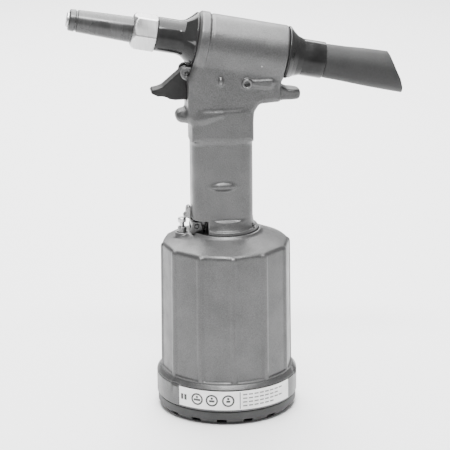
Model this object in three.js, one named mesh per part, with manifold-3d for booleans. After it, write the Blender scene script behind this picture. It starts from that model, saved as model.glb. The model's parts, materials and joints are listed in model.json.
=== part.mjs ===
// Air over oil rivet gun, in millimetres, +Z up.
// The origin is the centre of the flat rest face, on the axis of the air cylinder.
// The nose points towards -X, the pintail deflector towards +X, and -Y is the tool's left side.
import * as THREE from 'three';
import { mergeVertices } from 'three/addons/utils/BufferGeometryUtils.js';
import Module from 'manifold-3d';

const wasm = await Module();
wasm.setup();

// ---- Driving dimensions ----

const GAP = 0.3; // clearance between neighbouring pieces
const SIDES = 24; // facets round a medium round piece
const SMALL = 12; // facets round a small round piece
const LARGE = 36; // facets round the air cylinder
const FAR = 200; // reach of a cutting tool

const degrees = THREE.MathUtils.degToRad;
const CANT = degrees(11); // the head's nose-up cant
const HEAD_Z = 315.1; // height at which the head's axis meets the air cylinder's axis

// Head: distances along the head's axis, positive towards the rear, and radii.
const BARREL = { front: -24.6, rear: 51.5, radius: 24.1, bore: 20, collar: 24.9, collarEnd: -15.5 };
const PULL_ROD = 9;
const ROD_CLEAR = 9.3;
const NECK = { spigot: -65, front: -57, radius: 14.2, thread: 12.1 };
const NUT = { front: -77.4, rear: -57.3, acrossFlats: 27.5, cavity: 12.5, turn: degrees(-23.5) };
const SLEEVE = { front: -129.8, collar: -74.2, rear: -69, bore: 7.2 };
const SLEEVE_RADII = { tip: 8.9, root: 10.7, collar: 12.2 };
const COLLET = { front: -117.5, rear: -60.3, radius: 6.9, mouth: 3.4, bore: 6, coneEnd: -103 };
const REAR_NECK = { start: 66, end: 84.5, radius: 15.3, spigot: 12.2, spigotEnd: 96 };
const DEFLECTOR = { start: 84.8, root: 14.2, mouth: 16.3, turn: degrees(10) };
const PINTAIL_BORE = 2.6;

// Grip, in plan and in height.
const GRIP = { front: -29, rear: 22.5, halfWidth: 20, corner: 13, bottom: 158, top: 262 };
const OIL = { bore: 10.8, tube: 10.5, tubeBore: 8.3, bottom: 158.5, top: 280 };
const FLANGE = { radius: 27.6, bottom: 151.8, top: 160.4 };
const SPIGOT = { radius: 18, bottom: 141.6 };

// Trigger, link and throttle.
const TRIGGER_PIVOT = { x: -31.8, z: 293.8, boss: 3.9, pin: 1.8 };
const TRIGGER_HALF = 7.7;
const LUG_HALF = 12.1; // half the width over the trigger's pivot lugs
const BLEED = { x: 16.7, z: 285.6, radius: 4.2, face: -22.2 };
const LINK_X = -19;
const ARM_PIVOT = { x: -25.5, z: 162.5, hub: 4.4, pin: 1.6 };
const VALVE_X = -37;

// Air end, from the rest face up.
const COVER = { radius: 59.6, rest: 55, chamfer: 5, height: 12.1, floor: 3, pocket: 47.5, slots: 16 };
const RING = { radius: 60.4, bottom: 12.4, top: 35.5, inner: 56.8, lip: 53 };
const CYLINDER = { bore: 50, bottom: 20, ceiling: 141, shoulder: 146.5, hole: 18.3 };
const COLLAR = { radius: 29.9, top: 157.4 }; // rim round the grip's foot, on top of the shoulder
const RIBS = { count: 12, radius: 56.5, panel: 55.2, width: 5, topShrink: 0.98 };
const PISTON = { radius: 49.3, bottom: 26, top: 42, hub: 5.3 };
const ROD = { radius: 7.5, stud: 5, top: 168 };
const LABEL = { bottom: 14.7, top: 31.2, start: degrees(-138), end: degrees(-38) };
const INLET_Z = 124; // height of the air inlet
const SCREW_REACH = 30; // distance of each base screw from the axis
const SCREW_ANGLES = [0, 1, 2].map((i) => (i * 2 * Math.PI) / 3 + Math.PI / 2);

// ---- Helpers ----

function material(color, roughness, metalness) {
  return new THREE.MeshStandardMaterial({ color, roughness, metalness });
}
const CAST = material(0x9a9a9c, 0.45, 0.8);
const STEEL = material(0x8d8f92, 0.35, 0.9);
const BLACK = material(0x1c1c1e, 0.35, 0.2);
const RUBBER = material(0x4a4a4d, 0.8, 0);
const SEAL = material(0x151515, 0.7, 0);
const PAPER = material(0xe8e8e8, 0.6, 0);
const BRASS = material(0xb08d4a, 0.4, 0.9);

// A closed mesh as a solid that can be joined and cut.
function solid(geometry) {
  const bare = geometry.clone();
  bare.deleteAttribute('normal');
  bare.deleteAttribute('uv');
  const merged = mergeVertices(bare, 1e-4);
  const corners = merged.index.array;
  const triangles = [];
  for (let i = 0; i < corners.length; i += 3) {
    const [a, b, c] = [corners[i], corners[i + 1], corners[i + 2]];
    if (a !== b && b !== c && c !== a) {
      triangles.push(a, b, c);
    }
  }
  return new wasm.Manifold(new wasm.Mesh({
    numProp: 3,
    vertProperties: new Float32Array(merged.attributes.position.array),
    triVerts: new Uint32Array(triangles),
  }));
}

function geometryOf(body) {
  const { vertProperties, triVerts } = body.getMesh();
  const geometry = new THREE.BufferGeometry();
  geometry.setAttribute('position', new THREE.BufferAttribute(vertProperties, 3));
  geometry.setIndex(new THREE.BufferAttribute(triVerts, 1));
  geometry.computeVertexNormals();
  return geometry;
}

const join = (first, ...rest) => rest.reduce((sum, next) => sum.add(solid(next)), solid(first));
const cut = (body, ...tools) => tools.reduce((left, tool) => left.subtract(solid(tool)), body);

// A turned shape about Y from [along, radius] points, wound so that its faces point out.
function lathe(points, sides) {
  const profile = points.map(([along, radius]) => new THREE.Vector2(radius, along));
  const closed = points[0][1] > 0 ? [...profile, profile[0].clone()] : profile;
  if (THREE.ShapeUtils.area(profile) < 0) {
    closed.reverse();
  }
  return new THREE.LatheGeometry(closed, sides);
}

const turnedX = (points, sides = SIDES) => lathe(points, sides).rotateZ(-Math.PI / 2);
const turnedZ = (points, sides = SIDES) => lathe(points, sides).rotateX(Math.PI / 2);
const turnedY = (points, sides = SMALL) => lathe(points, sides);

const rod = (start, end, radius) => [[start, 0], [start, radius], [end, radius], [end, 0]];
const sleeve = (start, end, inner, outer) => [[start, inner], [start, outer], [end, outer], [end, inner]];

function box(x0, x1, y0, y1, z0, z1) {
  const block = new THREE.BoxGeometry(x1 - x0, y1 - y0, z1 - z0);
  return block.translate((x0 + x1) / 2, (y0 + y1) / 2, (z0 + z1) / 2);
}

function extruded(shape, depth, bevel = 0, segments = 5) {
  return new THREE.ExtrudeGeometry(shape, {
    depth: depth - 2 * bevel,
    bevelEnabled: bevel > 0,
    bevelThickness: bevel,
    bevelSize: bevel,
    bevelOffset: -bevel,
    bevelSegments: 1,
    curveSegments: segments,
  }).translate(0, 0, bevel);
}

// A side outline in X and Z, given a width across Y and centred on it.
function sidePlate(shape, width, bevel = 0) {
  return extruded(shape, width, bevel).translate(0, 0, -width / 2).rotateX(Math.PI / 2);
}

const outline = (points) => new THREE.Shape(points.map(([x, y]) => new THREE.Vector2(x, y)));

function roundedRectangle(x0, x1, halfWidth, corner) {
  const shape = new THREE.Shape();
  shape.absarc(x1 - corner, halfWidth - corner, corner, 0, Math.PI / 2);
  shape.absarc(x0 + corner, halfWidth - corner, corner, Math.PI / 2, Math.PI);
  shape.absarc(x0 + corner, corner - halfWidth, corner, Math.PI, Math.PI * 1.5);
  shape.absarc(x1 - corner, corner - halfWidth, corner, Math.PI * 1.5, Math.PI * 2);
  return shape;
}

function circle(x, y, radius) {
  return new THREE.Shape().absarc(x, y, radius, 0, Math.PI * 2);
}

// A straight round tool between two points.
function drill(from, to, radius) {
  const direction = new THREE.Vector3().subVectors(to, from);
  const up = new THREE.Vector3(0, 1, 0);
  const turn = new THREE.Quaternion().setFromUnitVectors(up, direction.clone().normalize());
  const shape = lathe(rod(0, direction.length(), radius), SMALL);
  return shape.applyQuaternion(turn).translate(from.x, from.y, from.z);
}

// A coil spring along X, with open ends.
function coil(start, end, radius, wire, turns) {
  const points = [];
  const steps = turns * 8;
  for (let i = 0; i <= steps; i++) {
    const angle = (i / steps) * turns * Math.PI * 2;
    const along = start + wire + ((end - start - 2 * wire) * i) / steps;
    points.push(new THREE.Vector3(along, radius * Math.cos(angle), radius * Math.sin(angle)));
  }
  const path = new THREE.CatmullRomCurve3(points);
  const section = outline([0, 1, 2, 3].map((i) => {
    const angle = (i / 4) * Math.PI * 2;
    return [wire * Math.cos(angle), wire * Math.sin(angle)];
  }));
  return new THREE.ExtrudeGeometry(section, { steps, extrudePath: path });
}

const object = new THREE.Group();
const head = new THREE.Group();
head.position.z = HEAD_Z;
head.rotation.y = CANT;
object.add(head);

function place(parent, name, geometry, finish) {
  const mesh = new THREE.Mesh(geometry, finish);
  mesh.name = name;
  parent.add(mesh);
  return mesh;
}

// Moves a shape made along the head's axis into the object's frame.
const canted = (geometry) => geometry.rotateY(CANT).translate(0, 0, HEAD_Z);

// ---- Head and grip casting ----

function barrelShape() {
  const { front, rear, radius, collar, collarEnd } = BARREL;
  const groove = 23.5;
  return canted(turnedX([
    [front, 0],
    [front, 21.6],
    [front + 2.6, collar],
    [collarEnd, collar],
    [collarEnd + 0.6, groove],
    [collarEnd + 2.2, groove],
    [collarEnd + 2.8, radius],
    [rear - 1.2, radius],
    [rear, radius - 1.2],
    [rear, 0],
  ], LARGE));
}

// Body under the barrel: trigger cheeks in front, flat rear face, and the run of the grip below.
function webShape() {
  const shape = outline([
    [GRIP.front, 236],
    [GRIP.rear, 236],
    [GRIP.rear, 251],
    [23.5, 258],
    [26.5, 263.6],
    [32, 267.4],
    [45.2, 268.4],
    [45.2, 280],
    [48.5, 298],
    [20, 306],
    [-22, 312],
    [-31.5, 291],
    [-32, 288],
    [-32, 258],
    [GRIP.front, 250],
  ]);
  return sidePlate(shape, 2 * (GRIP.halfWidth - 0.5), 3);
}

// Saddle behind the grip that rests on the web of the hand.
function spurShape() {
  const profile = outline([
    [10, 268],
    [58, 268.2],
    [62.5, 269.2],
    [64.5, 272.2],
    [62.5, 275.4],
    [58, 276.6],
    [52, 277.4],
    [46, 280.5],
    [10, 280.5],
  ]);
  const halfWidth = 10;
  const tip = 54.5;
  const plan = new THREE.Shape();
  plan.moveTo(10, -halfWidth);
  plan.lineTo(tip, -halfWidth);
  plan.absarc(tip, 0, halfWidth, -Math.PI / 2, Math.PI / 2);
  plan.lineTo(10, halfWidth);
  return solid(sidePlate(profile, 2 * halfWidth)).intersect(solid(extruded(plan, 60).translate(0, 0, 240)));
}

function footShape() {
  const { radius, bottom, top } = FLANGE;
  return turnedZ([
    [SPIGOT.bottom, 0],
    [SPIGOT.bottom, SPIGOT.radius],
    [bottom, SPIGOT.radius],
    [bottom, radius],
    [top - 0.8, radius],
    [top, radius - 1],
    [top + 0.3, 25.6],
    [163, 24.3],
    [167.5, 23],
    [167.5, 0],
  ], LARGE);
}

// Finger guard: a rounded bar across the front that fades into a ridge on each side.
function guardShape() {
  const plan = new THREE.Shape();
  plan.moveTo(-8, -20.6);
  plan.lineTo(-8, 20.6);
  plan.lineTo(-24, 20.6);
  plan.absarc(-29.4, 8, 12, Math.PI * 0.62, Math.PI, false);
  plan.absarc(-29.4, -8, 12, Math.PI, Math.PI * 1.38, false);
  plan.lineTo(-24, -20.6);
  return extruded(plan, 9, 3, 4).translate(0, 0, 252);
}

function castingShape() {
  const { x, z } = TRIGGER_PIVOT;
  const plan = roundedRectangle(GRIP.front, GRIP.rear, GRIP.halfWidth, GRIP.corner);
  const grip = extruded(plan, GRIP.top - GRIP.bottom);
  const lugs = sidePlate(circle(x, z, 5.5), 2 * LUG_HALF);
  const bleedBoss = drill(atBleed(0), atBleed(BLEED.face), BLEED.radius);
  const bleedRib = box(BLEED.x, 36, -20.6, 0, BLEED.z - 2.2, BLEED.z + 2.2);
  const ovalBump = new THREE.SphereGeometry(1, SMALL, 8).scale(9, 2.4, 3.4);
  ovalBump.translate(-3.9, -GRIP.halfWidth, 198.2);
  const sideNib = new THREE.SphereGeometry(1, SMALL, 8).scale(1.6, 2, 3);
  sideNib.translate(-5, 1.6 - GRIP.halfWidth, 288);
  const outside = join(
    barrelShape(),
    webShape(),
    grip.translate(0, 0, GRIP.bottom),
    footShape(),
    guardShape(),
    lugs,
    bleedBoss,
    bleedRib,
    ovalBump,
    sideNib,
  ).add(spurShape());
  const slotHalf = TRIGGER_HALF + 0.4;
  return cut(
    outside,
    canted(turnedX(rod(-FAR, FAR, BARREL.bore), LARGE)),
    canted(turnedX([[-42, 0], [-42, NECK.radius + 2], [BARREL.front, 23.8], [BARREL.front, 0]])),
    turnedZ(rod(SPIGOT.bottom - 5, OIL.top + 0.5, OIL.bore)),
    sidePlate(circle(x, z, TRIGGER_PIVOT.boss + 0.6), 2 * slotHalf),
    box(-45, -22.4, -slotHalf, slotHalf, 269.5, 291),
    box(-45, -26.8, -slotHalf, slotHalf, 290, 293.6),
    box(-45, x, -slotHalf, slotHalf, 290, 302),
    box(-23, -13.8, -4, 4, 276.3, 284),
    box(-23, -14.6, -4, 4, 283, 287.8),
    turnedZ(rod(150, 280, 2), SMALL).translate(LINK_X, 0, 0),
    box(-45, -16.5, -30, 30, 155.4, 168),
    drill(new THREE.Vector3(-3, 0, 279), new THREE.Vector3(-20, 0, 299.5), 2.2),
    turnedY(rod(-FAR, FAR, TRIGGER_PIVOT.pin + 0.2)).translate(x, 0, z),
    drill(atBleed(-12), atBleed(-30), 2.4),
    drill(lockScrewSeat(6), lockScrewSeat(-10), 2.3),
  );
}

// A point on the bleed screw's axis, which runs across the body.
const atBleed = (y) => new THREE.Vector3(BLEED.x, y, BLEED.z);

// The lock screw sits slantwise in the foot of the grip, on its left rear side.
function lockScrewSeat(depth) {
  const angle = degrees(-30);
  const reach = 26.6 - depth * 0.8;
  return new THREE.Vector3(reach * Math.cos(angle), reach * Math.sin(angle), 162.2 - depth * 0.6);
}

place(object, 'head_and_grip_casting', geometryOf(castingShape()), CAST);

function smallFasteners() {
  place(object, 'bleed_screw', drill(atBleed(-12.4), atBleed(-20.4), 2.1), STEEL);
  place(object, 'lock_screw', drill(lockScrewSeat(5.6), lockScrewSeat(1.2), 2), STEEL);
}
smallFasteners();

place(object, 'oil_tube', turnedZ(sleeve(OIL.bottom, OIL.top, OIL.tubeBore, OIL.tube)), STEEL);

// ---- Head: glands, pull piston and return spring ----

function frontGland() {
  const end = -18.2;
  place(head, 'front_gland', turnedX([
    [NECK.spigot, ROD_CLEAR],
    [NECK.spigot, NECK.thread],
    [NECK.front, NECK.thread],
    [NECK.front, NECK.radius],
    [-38.7, NECK.radius],
    [-34.5, 15.4],
    [-29.5, 19.6],
    [-26.2, 23],
    [BARREL.front - GAP, 23],
    [BARREL.front - GAP, 19.7],
    [end, 19.7],
    [end, 12],
    [-23, 12],
    [-23, ROD_CLEAR],
  ]), BLACK);
  place(head, 'front_rod_seal', turnedX(sleeve(-22.7, -18.4, PULL_ROD + 0.25, 11.7)), SEAL);
}

function rearGland() {
  const { start, end, radius, spigot, spigotEnd } = REAR_NECK;
  const flange = BARREL.rear + GAP;
  const shape = turnedX([
    [44, 12],
    [44, 19.7],
    [flange, 19.7],
    [flange, 23.8],
    [53.4, 23.8],
    [57, 20.2],
    [61, 17],
    [start, radius],
    [end, radius],
    [end, spigot],
    [spigotEnd, spigot],
    [spigotEnd, ROD_CLEAR],
    [48.6, ROD_CLEAR],
    [48.6, 12],
  ]);
  const underside = -16.8;
  const gland = cut(solid(shape), box(flange, start, -FAR, FAR, -FAR, underside));
  place(head, 'rear_gland', geometryOf(gland), BLACK);
  place(head, 'rear_rod_seal', turnedX(sleeve(44.2, 48.3, PULL_ROD + 0.25, 11.7)), SEAL);
}

function pullPiston() {
  place(head, 'pull_piston', turnedX([
    [-72.5, PINTAIL_BORE],
    [-72.5, 5.7],
    [-60, 5.7],
    [-60, PULL_ROD],
    [-17, PULL_ROD],
    [-17, 19.7],
    [-13.5, 19.7],
    [-13.5, 17],
    [-8.5, 17],
    [-8.5, 19.7],
    [-5, 19.7],
    [-5, PULL_ROD],
    [80, PULL_ROD],
    [80, PINTAIL_BORE],
  ]), STEEL);
  place(head, 'pull_piston_seal', turnedX(sleeve(-13.2, -8.8, 17.3, 19.75)), SEAL);
  place(head, 'return_spring', coil(-4.6, 43.6, 14, 1.4, 7), STEEL);
}

frontGland();
rearGland();
pullPiston();

// ---- Nose: nut, sleeve, tip, collet, jaws and pusher ----

function hexNut() {
  const corner = NUT.acrossFlats / Math.sqrt(3);
  const prism = new THREE.CylinderGeometry(corner, corner, NUT.rear - NUT.front, 6);
  prism.rotateZ(-Math.PI / 2).translate((NUT.front + NUT.rear) / 2, 0, 0);
  const chamfer = turnedX([
    [NUT.front - 1, 0],
    [NUT.front - 1, 11.6],
    [NUT.front + 3.2, corner],
    [NUT.rear - 1, corner],
    [NUT.rear + 1, corner - 2],
    [NUT.rear + 1, 0],
  ]);
  const body = solid(prism.rotateX(NUT.turn)).intersect(solid(chamfer));
  const lip = turnedX(rod(-FAR, FAR, SLEEVE_RADII.root + 0.5));
  const cavity = turnedX(rod(NUT.front + 2.9, FAR, NUT.cavity));
  place(head, 'hex_nut', geometryOf(cut(body, lip, cavity)), STEEL);
}

function noseSleeve() {
  const { front, collar, rear, bore } = SLEEVE;
  const { tip, root } = SLEEVE_RADII;
  place(head, 'nose_sleeve', turnedX([
    [front, 5],
    [front, tip - 0.8],
    [front + 0.8, tip],
    [front + 5, tip + 0.25],
    [front + 5.4, tip - 0.4],
    [front + 6.4, tip - 0.4],
    [front + 6.8, tip + 0.35],
    [NUT.front, root],
    [collar, root],
    [collar, SLEEVE_RADII.collar],
    [rear, SLEEVE_RADII.collar],
    [rear, bore],
    [-121, bore],
    [-121, 5],
  ]), BLACK);
  place(head, 'nose_tip', turnedX([
    [-121.4, 1.8],
    [-121.4, 4.7],
    [front - GAP, 4.7],
    [front - GAP, 6.2],
    [front - 1.4, 6.2],
    [front - 1.9, 5.4],
    [front - 1.9, 1.8],
  ], SMALL), STEEL);
}

function collet() {
  const { front, rear, radius, mouth, bore, coneEnd } = COLLET;
  place(head, 'collet', turnedX([
    [front, mouth],
    [front, radius - 1],
    [front + 1, radius],
    [rear, radius],
    [rear, bore],
    [coneEnd, bore],
  ]), STEEL);
}

// Three wedge jaws inside the collet's cone, with their sides cut back so that they can close.
function jaws() {
  const slope = (COLLET.bore - COLLET.mouth) / (COLLET.coneEnd - COLLET.front);
  const coneAt = (along) => COLLET.mouth + (along - COLLET.front) * slope - GAP;
  const [tip, heel, grooveRadius] = [-116, -104.2, 1.6];
  const cone = turnedX([[tip, grooveRadius], [tip, coneAt(tip)], [heel, coneAt(heel)], [heel, grooveRadius]]);
  const cutBack = 0.8;
  for (const number of [1, 2, 3]) {
    const apex = cutBack / Math.sin(Math.PI / 3);
    const wedge = outline([[apex, 0], [apex + 12, -20.8], [apex + 12, 20.8]]);
    const sector = extruded(wedge, 40).rotateY(-Math.PI / 2).translate(-90, 0, 0);
    sector.rotateX(((number - 1) * Math.PI * 2) / 3);
    place(head, `jaw_${number}`, geometryOf(solid(cone).intersect(solid(sector))), STEEL);
  }
  place(head, 'jaw_pusher', turnedX([
    [-103.8, 2],
    [-103.8, 4.4],
    [-97, 4.4],
    [-97, 5.6],
    [-90, 5.6],
    [-90, 2],
  ], SMALL), STEEL);
  place(head, 'pusher_spring', coil(-89.6, -72.9, 4.4, 0.6, 6), STEEL);
}

hexNut();
noseSleeve();
collet();
jaws();

// ---- Pintail deflector: a soft tube with a slanted, rounded mouth ----

function deflector() {
  const { start, root, mouth, turn } = DEFLECTOR;
  const inner = REAR_NECK.spigot + GAP;
  const tube = turnedX([
    [start, inner],
    [start, root - 0.4],
    [start + 0.6, root],
    [102, root + 0.4],
    [124, mouth - 0.7],
    [162, mouth],
    [162, mouth - 2.4],
    [104, inner],
  ]);
  const outside = outline([
    [133.4, 24],
    [135.8, 16.6],
    [144.5, 8.6],
    [149.6, 3.6],
    [153.4, -5.6],
    [156.4, -17],
    [156.6, -24],
    [180, -24],
    [180, 24],
  ]);
  const body = cut(solid(tube), sidePlate(outside, 60));
  const mesh = place(head, 'deflector', geometryOf(body), RUBBER);
  mesh.rotation.x = turn;
}
deflector();

// ---- Trigger and its link ----

function trigger() {
  const { x, z, boss, pin } = TRIGGER_PIVOT;
  const shape = new THREE.Shape();
  shape.moveTo(x - 2.9, z + 3.3);
  shape.lineTo(-51.2, 283.2);
  shape.quadraticCurveTo(-54, 281, -60.4, 280.2);
  shape.quadraticCurveTo(-62.6, 278.6, -60.8, 276.6);
  shape.lineTo(-56, 274.3);
  shape.quadraticCurveTo(-50, 274.6, -46.5, 271.8);
  shape.lineTo(-42, 270.9);
  shape.lineTo(-27, 271.2);
  shape.lineTo(-26.6, 277.6);
  shape.lineTo(-17.2, 278);
  shape.lineTo(-17.2, 282);
  shape.lineTo(-25.2, 283);
  shape.lineTo(x + boss - 0.6, z - 2);
  shape.absarc(x, z, boss, -0.4, Math.PI * 0.72, false);
  const body = cut(
    solid(sidePlate(shape, 2 * TRIGGER_HALF, 0.6)),
    turnedY(rod(-FAR, FAR, pin + GAP)).translate(x, 0, z),
    box(-25.6, 0, 3.6, 30, 260, 286),
    box(-25.6, 0, -30, -3.6, 260, 286),
    box(-23.8, 0, -2, 2, 260, 286),
  );
  place(object, 'trigger', geometryOf(body), BLACK);
  place(object, 'trigger_pin', turnedY(rod(-11.4, 11.4, pin)).translate(x, 0, z), STEEL);
}

// Link rod down the front of the grip, with a flat head on top and a ball below.
function triggerLink() {
  const ball = { z: 158.1, radius: 2.3 };
  const shank = 1.5;
  const points = [[ball.z - ball.radius, 0]];
  for (let i = 1; i <= 5; i++) {
    const angle = (i / 6) * Math.PI * 0.8;
    points.push([ball.z - ball.radius * Math.cos(angle), ball.radius * Math.sin(angle)]);
  }
  points.push([161, shank], [282.6, shank], [282.6, 3.2], [285, 3.2], [285, 0]);
  place(object, 'trigger_link', turnedZ(points, 16).translate(LINK_X, 0, 0), STEEL);
}

// ---- Throttle arm, its bracket and the throttle valve ----

function armBracket() {
  const { x, z, pin } = ARM_PIVOT;
  const ear = outline([
    [x - 4.6, 155.8],
    [x + 5.4, 155.8],
    [x + 5.4, 160],
    [x + 3.4, 166.4],
    [x - 3.4, 166.4],
    [x - 4.6, 160],
  ]);
  const body = cut(
    solid(sidePlate(ear, 23)),
    box(-FAR, FAR, -8.7, 8.7, 157.4, FAR),
    turnedY(rod(-FAR, FAR, pin + 0.2)).translate(x, 0, z),
    box(LINK_X - 3.4, 0, -4, 4, 150, 160),
  );
  place(object, 'arm_bracket', geometryOf(body), BLACK);
  place(object, 'throttle_arm_pin', turnedY(rod(-12.2, 12.2, pin)).translate(x, 0, z), STEEL);
}

function throttleArm() {
  const { x, z, hub, pin } = ARM_PIVOT;
  const neck = new THREE.Shape();
  neck.moveTo(x - 2.6, z + 3);
  neck.lineTo(-29.4, 168);
  neck.lineTo(-29.4, 176);
  neck.absellipse(-31.4, 173.9, 2.5, 4.4, 0.6, Math.PI * 1.1, false, 0);
  neck.absarc(-34.4, 169.6, 1.6, Math.PI * 0.8, Math.PI * 1.6, false);
  neck.lineTo(-31.4, 167.2);
  neck.lineTo(x - 3.9, z + 1);
  const body = cut(
    join(
      turnedY(rod(-8.4, 8.4, hub), 24).translate(x, 0, z),
      sidePlate(neck, 7, 0.5),
      box(x, -17.4, -3.6, 3.6, z - 1.8, z + 1.8),
    ),
    turnedY(rod(-FAR, FAR, pin + GAP)).translate(x, 0, z),
    box(LINK_X - 2.1, 0, -1.9, 1.9, 150, 170),
  );
  place(object, 'throttle_arm', geometryOf(body), STEEL);
}

function throttleValve() {
  place(object, 'valve_body', turnedZ([
    [124, 1.2],
    [124, 4.2],
    [153, 4.2],
    [153, 3.7],
    [159.8, 3.7],
    [159.8, 2.9],
    [157.4, 2.9],
    [157.4, 2.3],
    [141, 2.3],
    [141, 3.2],
    [126, 3.2],
    [126, 1.2],
  ], SMALL).translate(VALVE_X, 0, 0), STEEL);
  place(object, 'valve_stem', turnedZ([
    [137.4, 0],
    [137.4, 2.9],
    [140.2, 2.9],
    [140.2, 2],
    [163.8, 2],
    [163.8, 3.5],
    [167, 3.5],
    [167.6, 2.9],
    [167.6, 0],
  ], SMALL).translate(VALVE_X, 0, 0), STEEL);
  const seal = turnedZ(sleeve(157.6, 159.7, 2.2, 2.75), SMALL);
  place(object, 'valve_stem_seal', seal.translate(VALVE_X, 0, 0), SEAL);
  const spring = coil(126.3, 137.2, 2.3, 0.4, 6).rotateY(-Math.PI / 2);
  place(object, 'valve_spring', spring.translate(VALVE_X, 0, 0), STEEL);
}

trigger();
triggerLink();
armBracket();
throttleArm();
throttleValve();

// ---- Air cylinder ----

// Ribbed body with near-flat panels between the ribs; it narrows a little towards the top.
function ribbedBody() {
  const { count, radius, panel, width, topShrink } = RIBS;
  const points = [];
  const half = Math.asin(width / 2 / radius);
  for (let rib = 0; rib < count; rib++) {
    const middle = (rib / count) * Math.PI * 2;
    const across = [[-half * 1.3, panel], [-half, radius], [half, radius], [half * 1.3, panel]];
    for (const [turn, reach] of across) {
      points.push([reach * Math.cos(middle + turn), reach * Math.sin(middle + turn)]);
    }
  }
  const bottom = RING.top + 1;
  const height = CYLINDER.shoulder - bottom;
  const body = extruded(outline(points), height);
  const corners = body.attributes.position;
  for (let i = 0; i < corners.count; i++) {
    const scale = 1 - ((1 - topShrink) * corners.getZ(i)) / height;
    corners.setXY(i, corners.getX(i) * scale, corners.getY(i) * scale);
  }
  return body.translate(0, 0, bottom);
}

function airCylinder() {
  const { bore, bottom, ceiling, shoulder, hole } = CYLINDER;
  const crown = COLLAR.top;
  const rim = RIBS.panel * RIBS.topShrink;
  const skirt = RING.inner - GAP;
  const inletBoss = turnedY([[RIBS.panel - 8, 0], [RIBS.panel - 8, 9.5], [59.5, 8.8], [59.5, 0]]);
  const shell = join(
    ribbedBody(),
    turnedZ([[bottom, 0], [bottom, skirt], [RING.top + 1.5, skirt], [RING.top + 1.5, 0]], LARGE),
    turnedZ([
      [shoulder - 8, 0],
      [shoulder - 8, rim - 4],
      [shoulder, rim],
      [crown - 1, COLLAR.radius + 0.8],
      [crown, COLLAR.radius],
      [crown, 0],
    ], LARGE),
    turnedZ([[145, 0], [145, 9], [152.6, 6.8], [155, 5.4], [155, 0]], SMALL).translate(VALVE_X, 0, 0),
    inletBoss.translate(0, 0, INLET_Z),
  );
  const body = cut(
    shell,
    turnedZ(rod(0, ceiling, bore), LARGE),
    turnedZ(rod(0, FAR, hole)),
    turnedZ(rod(FLANGE.bottom - GAP, FAR, FLANGE.radius + 0.6), LARGE),
    box(-33.5, -16, -13, 13, 155.2, FAR),
    turnedZ(rod(0, FAR, 4.5), SMALL).translate(VALVE_X, 0, 0),
    turnedY(rod(0, FAR, 6.3)).translate(0, 0, INLET_Z),
  );
  place(object, 'air_cylinder', geometryOf(body), CAST);
}

function airInlet() {
  const hex = new THREE.CylinderGeometry(8.7, 8.7, 7, 6).translate(0, 63.4, 0);
  const nipple = turnedY([
    [50.6, 0],
    [50.6, 6],
    [61, 6],
    [61, 5],
    [70, 5],
    [70, 5.6],
    [75, 5],
    [75, 0],
  ]);
  const body = cut(join(hex, nipple), turnedY(rod(0, FAR, 3)));
  place(object, 'air_inlet_nipple', geometryOf(body).translate(0, 0, INLET_Z), BRASS);
}

function airPiston() {
  const { radius, bottom, top, hub } = PISTON;
  place(object, 'air_piston', turnedZ([
    [bottom, hub],
    [bottom, 16],
    [bottom + 4, 18],
    [bottom + 4, 40],
    [bottom, 42],
    [bottom, radius],
    [31, radius],
    [31, 46.5],
    [37, 46.5],
    [37, radius],
    [top, radius],
    [top, hub],
  ], LARGE), CAST);
  place(object, 'piston_ring', turnedZ(sleeve(31.3, 36.7, 46.8, 49.6), LARGE), SEAL);
  place(object, 'piston_rod', turnedZ([
    [19.8, 0],
    [19.8, ROD.stud],
    [top + GAP, ROD.stud],
    [top + GAP, ROD.radius],
    [ROD.top - 1.5, ROD.radius],
    [ROD.top, ROD.radius - 1.5],
    [ROD.top, 0],
  ]), STEEL);
  const nut = solid(new THREE.CylinderGeometry(9.8, 9.8, 5.4, 6).rotateX(Math.PI / 2).translate(0, 0, 23));
  place(object, 'rod_nut', geometryOf(cut(nut, turnedZ(rod(0, FAR, ROD.stud + GAP)))), STEEL);
}

function rodGland() {
  place(object, 'rod_gland', turnedZ([
    [133, 7.8],
    [133, 24],
    [135, 26],
    [CYLINDER.ceiling - GAP, 26],
    [CYLINDER.ceiling - GAP, 10.5],
    [158, 10.5],
    [158, 9.5],
    [153, 9.5],
    [153, 7.8],
  ]), STEEL);
  place(object, 'rod_seal', turnedZ(sleeve(153.3, 157.7, 7.75, 9.2)), SEAL);
}

airCylinder();
airInlet();
airPiston();
rodGland();

// ---- Base: end plate, ring, cover, silencer, screws and label ----

function screwTools(z0, z1, radius) {
  return SCREW_ANGLES.map((angle) => {
    const tool = turnedZ(rod(z0, z1, radius), SMALL);
    return tool.translate(SCREW_REACH * Math.cos(angle), SCREW_REACH * Math.sin(angle), 0);
  });
}

function endPlate() {
  const plate = turnedZ([
    [RING.bottom, 0],
    [RING.bottom, RING.lip - GAP],
    [15.5, RING.lip - GAP],
    [15.5, RING.inner - GAP],
    [19.7, RING.inner - GAP],
    [19.7, 47.4],
    [24, 47.4],
    [24, 42],
    [17, 38],
    [17, 0],
  ], LARGE);
  const port = turnedZ(rod(0, FAR, 3), SMALL).translate(0, -34, 0);
  place(object, 'end_plate', geometryOf(cut(solid(plate), port, ...screwTools(0, 15.4, 1.8))), STEEL);
  place(object, 'end_plate_seal', turnedZ(sleeve(20.4, 23.2, 47.7, 49.75), LARGE), SEAL);
}

function baseRing() {
  const { radius, bottom, top, inner, lip } = RING;
  place(object, 'base_ring', turnedZ([
    [bottom, lip],
    [bottom, radius - 0.8],
    [bottom + 0.8, radius],
    [31.6, radius],
    [top, 58.4],
    [top, inner],
    [15.2, inner],
    [15.2, lip],
  ], LARGE), CAST);
}

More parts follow.
